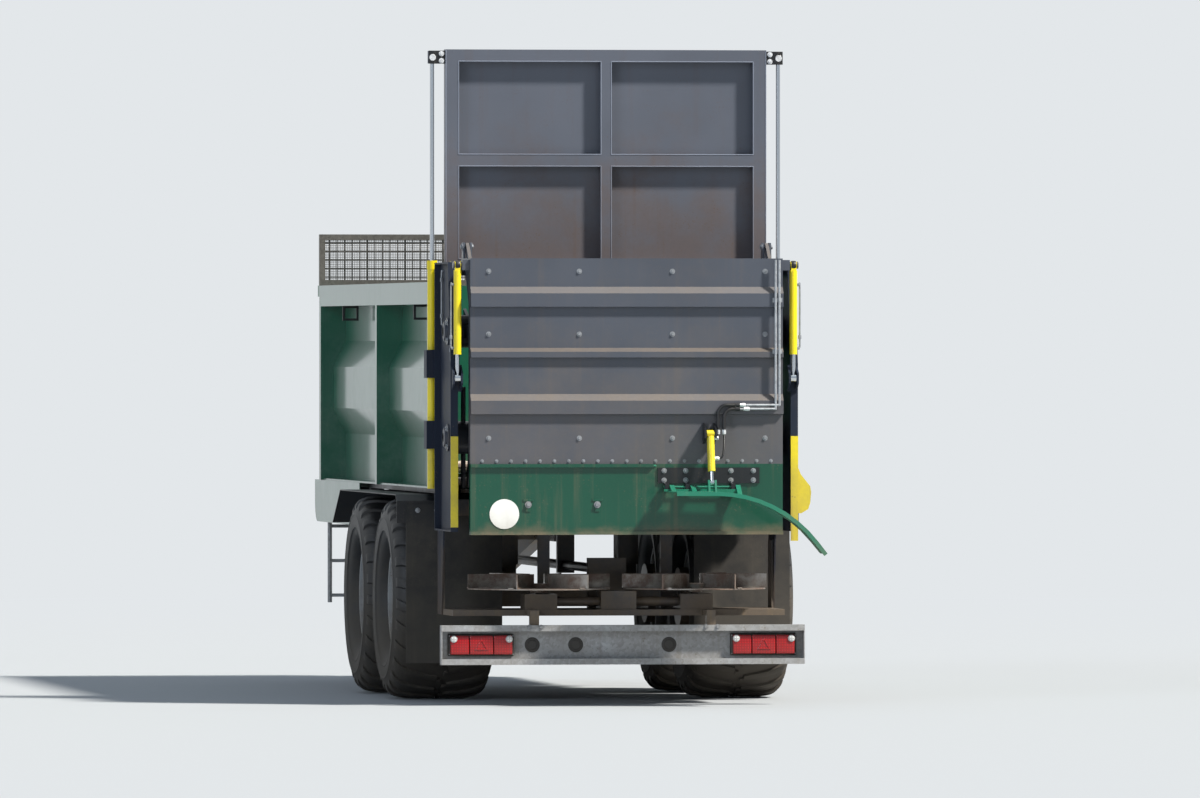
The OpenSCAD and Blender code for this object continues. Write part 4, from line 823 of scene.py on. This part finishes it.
class SPREADER_OT_frame_lines(bpy.types.Operator):
    """Add the side frames' steel pipes, the screen's wires and the rubber plugs in the light bar's holes"""

    bl_idname = "spreader.frame_lines"
    bl_label = "Frame pipes, screen and plugs"

    def execute(self, context):
        pipes, unions = [], []
        nut = union_nut(0.006, 0.0105, 0.008, 0.014)
        for side in (1, -1):
            for station, top, base in ((400, 2925, 2560), (-60, 2870, 2330)):
                course = ((1141, top), (1150, top - 6), (1153, top - 30),
                          (1153, base + 30), (1150, base + 6), (1141, base))
                pipes.append(pipe([(side * x, station, z) for x, z in course], 40, 0.006))
                unions += [place(nut, spot(side * 1153, station, z)) for z in (top - 60, base + 60)]
        put("frame_pipes", merge(pipes), "zinc_clean", "frame")
        put("pipe_unions", merge(unions), "zinc_clean", "frame")
        low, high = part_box("front_screen")
        y = (low.y + high.y) / 2
        rim, pitch = 0.03, 0.0125
        wire = turned([(0, 0.0), (0.0018, 0.0), (0.0018, 1.0), (0.0, 1.0)], 4)
        wide, tall = high.x - low.x - 2 * rim, high.z - low.z - 2 * rim
        ups = [at(x, y - 0.006, low.z + rim) @ np.diag([1, 1, tall, 1])
               for x in np.arange(low.x + rim, high.x - rim, pitch)]
        rows = [at(low.x + rim, y - 0.0085, z) @ turn(90, "Y") @ np.diag([1, 1, wide, 1])
                for z in np.arange(low.z + 0.04, high.z - rim, pitch)]
        put("screen_mesh", copies(wire, ups + rows), "screen", "frame", 0)
        plug = turned([(0, -0.01), (0.03, -0.009), (0.034, -0.004), (0.047, -0.004), (0.051, -0.002),
                       (0.051, 0.0), (0.044, 0.001), (0.044, 0.008), (0, 0.008)], 40, "y")
        plugs = copies(plug, [spot(x, -126, 407.5) for x in (-610, -315, 320)])
        put("bar_plugs", plugs, "hose", "frame")
        return {"FINISHED"}


class SPREADER_OT_gate_fasteners(bpy.types.Operator):
    """Add the pins, bolts and corner plates of the gate and the rounded rear edges of its bars, which are
    painted lighter as a highlight
    """

    bl_idname = "spreader.gate_fasteners"
    bl_label = "Gate pins, bolts and edges"

    def execute(self, context):
        face = 606
        pin = turned([(0, -0.046), (0.021, -0.046), (0.023, -0.044), (0.023, 0.044), (0, 0.044)], 28)
        shapes, plates = [], []
        for side in (1, -1):
            shapes.append(place(pin, spot(side * 1186, 655, 4370) @ turn(-90, "X")))
            shapes.append(bolts([(side * 1126, face + 5, z) for z in (4348, 4396)]))
            plates.append(place(soft_box((0.114, 0.005, 0.089), 0.002), spot(side * 1157, face + 7, 4372)))
        put("gate_pins", merge(shapes), "white_metal", "gate")
        put("gate_corner_plates", merge(plates), "housing", "gate")
        edges = [((x, face, 2930), (x, face, 4420)) for x in (-1096, 1096)]
        edges += [((x, face, z), (x, face, z + 630)) for x in (-1010, -35, 35, 1010) for z in (3005, 3715)]
        edges += [((x, face, z), (x + 975, face, z)) for x in (-1010, 35) for z in (3005, 3635, 3715, 4345)]
        beads = [swept([spot(*p)[:3, 3] for p in ends], 0.004, 12) for ends in edges]
        # The edge beads take the lighter paint, a painted highlight.
        put("gate_edges", merge(beads), "edges", "gate")
        return {"FINISHED"}


# Scraper chains

CHAIN_PAIRS = ((-930, -90), (90, 930))
SHAFTS = (660, 6570)
SHAFT_H = 1502


def loop_points(radius, count):
    """Equal steps along the loop round both shafts: the stations, the heights and the angle a turned so far,
    0 above and half a turn below. A point lies radius times sin a and cos a off the shafts' line."""
    run = SHAFTS[1] - SHAFTS[0]
    bend = math.pi * radius
    s = np.arange(count) * 2 * (run + bend) / count
    a = (np.clip(s - run, 0, bend) + np.clip(s - 2 * run - bend, 0, bend)) / radius
    along = np.clip(s, 0, run) - np.clip(s - run - bend, 0, run)
    return SHAFTS[0] + along + radius * np.sin(a), SHAFT_H + radius * np.cos(a), a


def chain_link(length, width, wire):
    """One link along Y: a stadium with round wire, sides parallel."""
    r = width / 2
    a = np.linspace(0, math.tau, 16, endpoint=False) + math.tau / 32
    straight = np.sign(np.sin(a)) * (length - width) / 2
    path = np.stack([r * np.cos(a), straight + r * np.sin(a), np.zeros_like(a)], -1)
    along = np.roll(path, -1, 0) - np.roll(path, 1, 0)
    along /= np.linalg.norm(along, axis=1)[:, None]
    up = np.array([0, 0, 1.0])
    side = np.cross(along, up)
    b = np.linspace(0, math.tau, 6, endpoint=False)[:, None]
    ring = path[:, None] + wire * (np.cos(b) * side[:, None] + np.sin(b) * up)
    return grid(ring, wrap_u=True, wrap_v=True)


def slat(x0, x1):
    """Slat between two places in X: a folded channel of 4 mm sheet, open towards the front."""
    section = [(-20, 0), (-20, 35), (20, 35), (20, 31), (-16, 31), (-16, 4), (20, 4), (20, 0)]
    section = np.array(section) / 1000
    ends = [np.column_stack([np.full(len(section), x / 1000), section]) for x in (x0, x1)]
    points, faces = grid(ends, wrap_v=True)
    cap = np.array([[0, 1, 4, 5], [0, 5, 6, 7], [1, 2, 3, 4]])
    return points, np.concatenate([faces, cap, cap[:, ::-1] + len(section)])


class SPREADER_OT_scraper(bpy.types.Operator):
    """Put linked chains and folded slats in place of the model's bands and bars"""

    bl_idname = "spreader.scraper"
    bl_label = "Scraper chains"

    def execute(self, context):
        places = []
        for x in sum(CHAIN_PAIRS, ()):
            for i, (station, height, a) in enumerate(zip(*loop_points(61.0, 260))):
                along = spot(x, station, height) @ turn(-math.degrees(a), "X")
                places.append(along @ turn(90, "Y") if i % 2 else along)
        put("scraper_chains", copies(chain_link(0.06, 0.022, 0.0055), places), "worn", "frame",
            replaces=["scraper_floor"])
        stations = np.linspace(*SHAFTS, round((SHAFTS[1] - SHAFTS[0]) / 400) + 1)
        slats = merge([slat(*pair) for pair in CHAIN_PAIRS])
        above = [spot(0, station, 1550) for station in stations]
        below = [spot(0, station, 1454) @ turn(180, "X") for station in stations]
        put("scraper_slats", copies(slats, above + below), "worn", "frame", smooth=0)
        return {"FINISHED"}


# Pipe fittings


class SPREADER_OT_hood_lines(bpy.types.Operator):
    """Add the fittings on the hood's pipes, and the pipes and ports of the flap's cylinder"""

    bl_idname = "spreader.hood_lines"
    bl_label = "Pipe fittings"

    def execute(self, context):
        collar = turned([(0.008, -0.02), (0.0135, -0.02), (0.0135, -0.004), (0.0155, -0.002),
                         (0.0155, 0.016), (0.0125, 0.02), (0.01, 0.02)], 6, "x")
        collars = copies(collar, [spot(778, -400, 2020), spot(806, -400, 1994)])
        put("pipe_fittings", collars, "white_metal", "hood")
        # Pipes from the hoses' lower ends to the two ports on the right side of the flap's cylinder
        hose_x = (612, 652)
        routes = [[(hose_x[0], -400, 1846), (612, -410, 1822), (606, -432, 1802), (579, -438, 1798)],
                  [(hose_x[1], -400, 1846), (652, -410, 1812), (646, -440, 1740), (636, -458, 1684),
                   (618, -462, 1664), (579, -462, 1662)]]
        put("flap_cylinder_pipes", merge([pipe(route, 26, 0.007) for route in routes]), "hose", "flap_barrel")
        nut = union_nut(0.007, 0.0145, 0.011, 0.016, "x")
        ports = [spot(594, -437, 1799), spot(596, -462, 1662)]
        ports += [spot(x, -402, 1838) @ turn(90, "Y") for x in hose_x]
        put("flap_cylinder_ports", copies(nut, ports), "white_metal", "flap_barrel")
        return {"FINISHED"}


# Stage


class SPREADER_OT_stage(bpy.types.Operator):
    """Set the floor, the sky, the lights and the camera"""

    bl_idname = "spreader.stage"
    bl_label = "Stage"

    def execute(self, context):
        scene = context.scene
        stage = scene.spreader_stage
        self.floor(scene, stage.floor)
        self.sky(scene)
        for name, place_at, spread, strength, colour in (
                ("key", (20.0, -13.0, 26.6), 5.5, 1.0, "#FFFAF2"),
                ("fill", (-17.0, -15.0, 7.0), 24.0, 0.13, "#D8E4F2"),
                ("top", (0.0, 3.0, 16.0), 60.0, 0.09, "#D8E4F2")):
            self.sun(scene, name, place_at, spread, stage.key * strength, colour)
        self.camera(scene, stage.lens)
        scene.view_settings.view_transform = "Standard"
        return {"FINISHED"}

    @staticmethod
    def floor(scene, colour):
        """Flat round floor of matt paper, 500 m in radius, its rings wider and wider apart. Away from the
        machine the paper glows for the eye and for gloss, so that the background stays pale."""
        radii = np.concatenate([[0.0], np.geomspace(0.5, 500.0, 24)])
        points, faces = place(turned([(r, 0.0) for r in radii], 64), at(0.0, MIDDLE_Y, GROUND))
        mesh = bpy.data.meshes.new("floor")
        mesh.from_pydata(points.tolist(), [], faces[:, ::-1].tolist())
        mesh.polygons.foreach_set("use_smooth", [True] * len(faces))
        floor = bpy.data.objects.new("floor", mesh)
        scene.collection.objects.link(floor)
        surface, add, where = blank("matt_studio_paper")
        away = add("VectorMath", {0: where, 1: (0.0, MIDDLE_Y, GROUND)}, operation="SUBTRACT")
        away = add("VectorMath", {0: away}, "Value", operation="LENGTH")
        rays = add("LightPath").node.outputs
        seen = add("Math", {0: rays["Is Camera Ray"], 1: rays["Is Glossy Ray"]}, **SUM)
        seen = add("Math", {0: seen, 1: rays["Is Transmission Ray"]}, **SUM)
        far = add("MapRange", {0: away, 1: 5.0, 2: 34.0}, **SMOOTH)
        share = add("Math", {0: seen, 1: far}, **PRODUCT)
        paper = add("BsdfPrincipled", {"Base Color": linear(colour), "Roughness": 0.9})
        glow = add("Emission", {0: linear(PALE)})
        both = add("MixShader", {0: share, 1: paper, 2: glow})
        add("OutputMaterial", {"Surface": both})
        mesh.materials.append(surface)

    @staticmethod
    def sky(scene):
        """Surroundings: pale to the eye and in gloss towards the front, dimmer in gloss towards the rear, and
        dimmest and bluest for what they light."""
        world = bpy.data.worlds.new("soft_studio")
        world.use_nodes = True
        tree = world.node_tree
        add = partial(node, tree)
        rays = add("LightPath").node.outputs
        way = add("SeparateXYZ", {0: add("TexCoord", give="Generated")}, "Y")
        front = add("MapRange", {0: way, 1: -0.2, 2: 0.5}, **SMOOTH)
        gloss = add("Mix", {0: front, 6: linear("#A9B4C0"), 7: linear(PALE)}, **BLEND)
        tint = add("Mix", {0: rays["Is Glossy Ray"], 6: linear("#C4D8F3", 0.17), 7: gloss}, **BLEND)
        tint = add("Mix", {0: rays["Is Camera Ray"], 6: tint, 7: linear(PALE)}, **BLEND)
        tree.links.new(tint, tree.nodes["Background"].inputs[0])
        scene.world = world

    @staticmethod
    def sun(scene, name, place_at, spread, strength, colour):
        """Far light from the direction of a point, seen from the origin as a disc spread degrees wide."""
        data = bpy.data.lights.new(name, "SUN")
        data.color = linear(colour)[:3]
        data.angle = math.radians(spread)
        data.energy = strength
        light = bpy.data.objects.new(name, data)
        light.location = place_at
        light.rotation_mode = "QUATERNION"
        light.rotation_quaternion = (-Vector(place_at)).to_track_quat("-Z", "Y")
        scene.collection.objects.link(light)

    @staticmethod
    def camera(scene, focal_length):
        """Camera of the photograph: 90 m behind the deck's edge, 13.3 m to the left and 2.45 m up."""
        heading, pitch = math.radians(8.328), math.radians(-0.2435)
        data = bpy.data.cameras.new("view")
        data.sensor_width = 36.0
        data.lens = focal_length
        data.clip_end = 900
        camera = bpy.data.objects.new("view", data)
        camera.location = (-13.305, -90.0 + BASE.y, 2.446 + BASE.z)
        camera.rotation_mode = "XYZ"
        camera.rotation_euler = (Matrix.Rotation(-heading, 3, "Z")
                                 @ Matrix.Rotation(math.pi / 2 + pitch, 3, "X")).to_euler()
        scene.collection.objects.link(camera)
        scene.camera = camera


class SPREADER_PT_panel(bpy.types.Panel):
    """Settings and steps of the spreader's finish"""

    bl_idname = "SPREADER_PT_panel"
    bl_label = "Manure spreader"
    bl_space_type = "VIEW_3D"
    bl_region_type = "UI"
    bl_category = "Spreader"

    def draw(self, context):
        for name in GROUPS:
            group = getattr(context.scene, name)
            box = self.layout.box()
            for key in group.bl_rna.properties.keys():
                if key not in ("rna_type", "name"):
                    box.prop(group, key)
        for step in STEPS:
            self.layout.operator(step.bl_idname)


STEPS = [
    SPREADER_OT_finish, SPREADER_OT_tyres, SPREADER_OT_wheel_parts, SPREADER_OT_lamps, SPREADER_OT_hood_sheet,
    SPREADER_OT_hood_fasteners, SPREADER_OT_cylinder_parts, SPREADER_OT_frame_fasteners,
    SPREADER_OT_frame_lines, SPREADER_OT_gate_fasteners, SPREADER_OT_scraper, SPREADER_OT_hood_lines,
    SPREADER_OT_stage,
]
GROUPS = {"spreader_finishes": SpreaderFinishes, "spreader_tyres": SpreaderTyres,
          "spreader_stage": SpreaderStage}


def register():
    for cls in [*GROUPS.values(), *STEPS, SPREADER_PT_panel]:
        bpy.utils.register_class(cls)
    for key, cls in GROUPS.items():
        setattr(bpy.types.Scene, key, bpy.props.PointerProperty(type=cls))


def unregister():
    for key in GROUPS:
        delattr(bpy.types.Scene, key)
    for cls in reversed([*GROUPS.values(), *STEPS, SPREADER_PT_panel]):
        bpy.utils.unregister_class(cls)


def main():
    register()
    for step in STEPS:
        group, name = step.bl_idname.split(".")
        getattr(getattr(bpy.ops, group), name)()


if __name__ == "__main__":
    main()
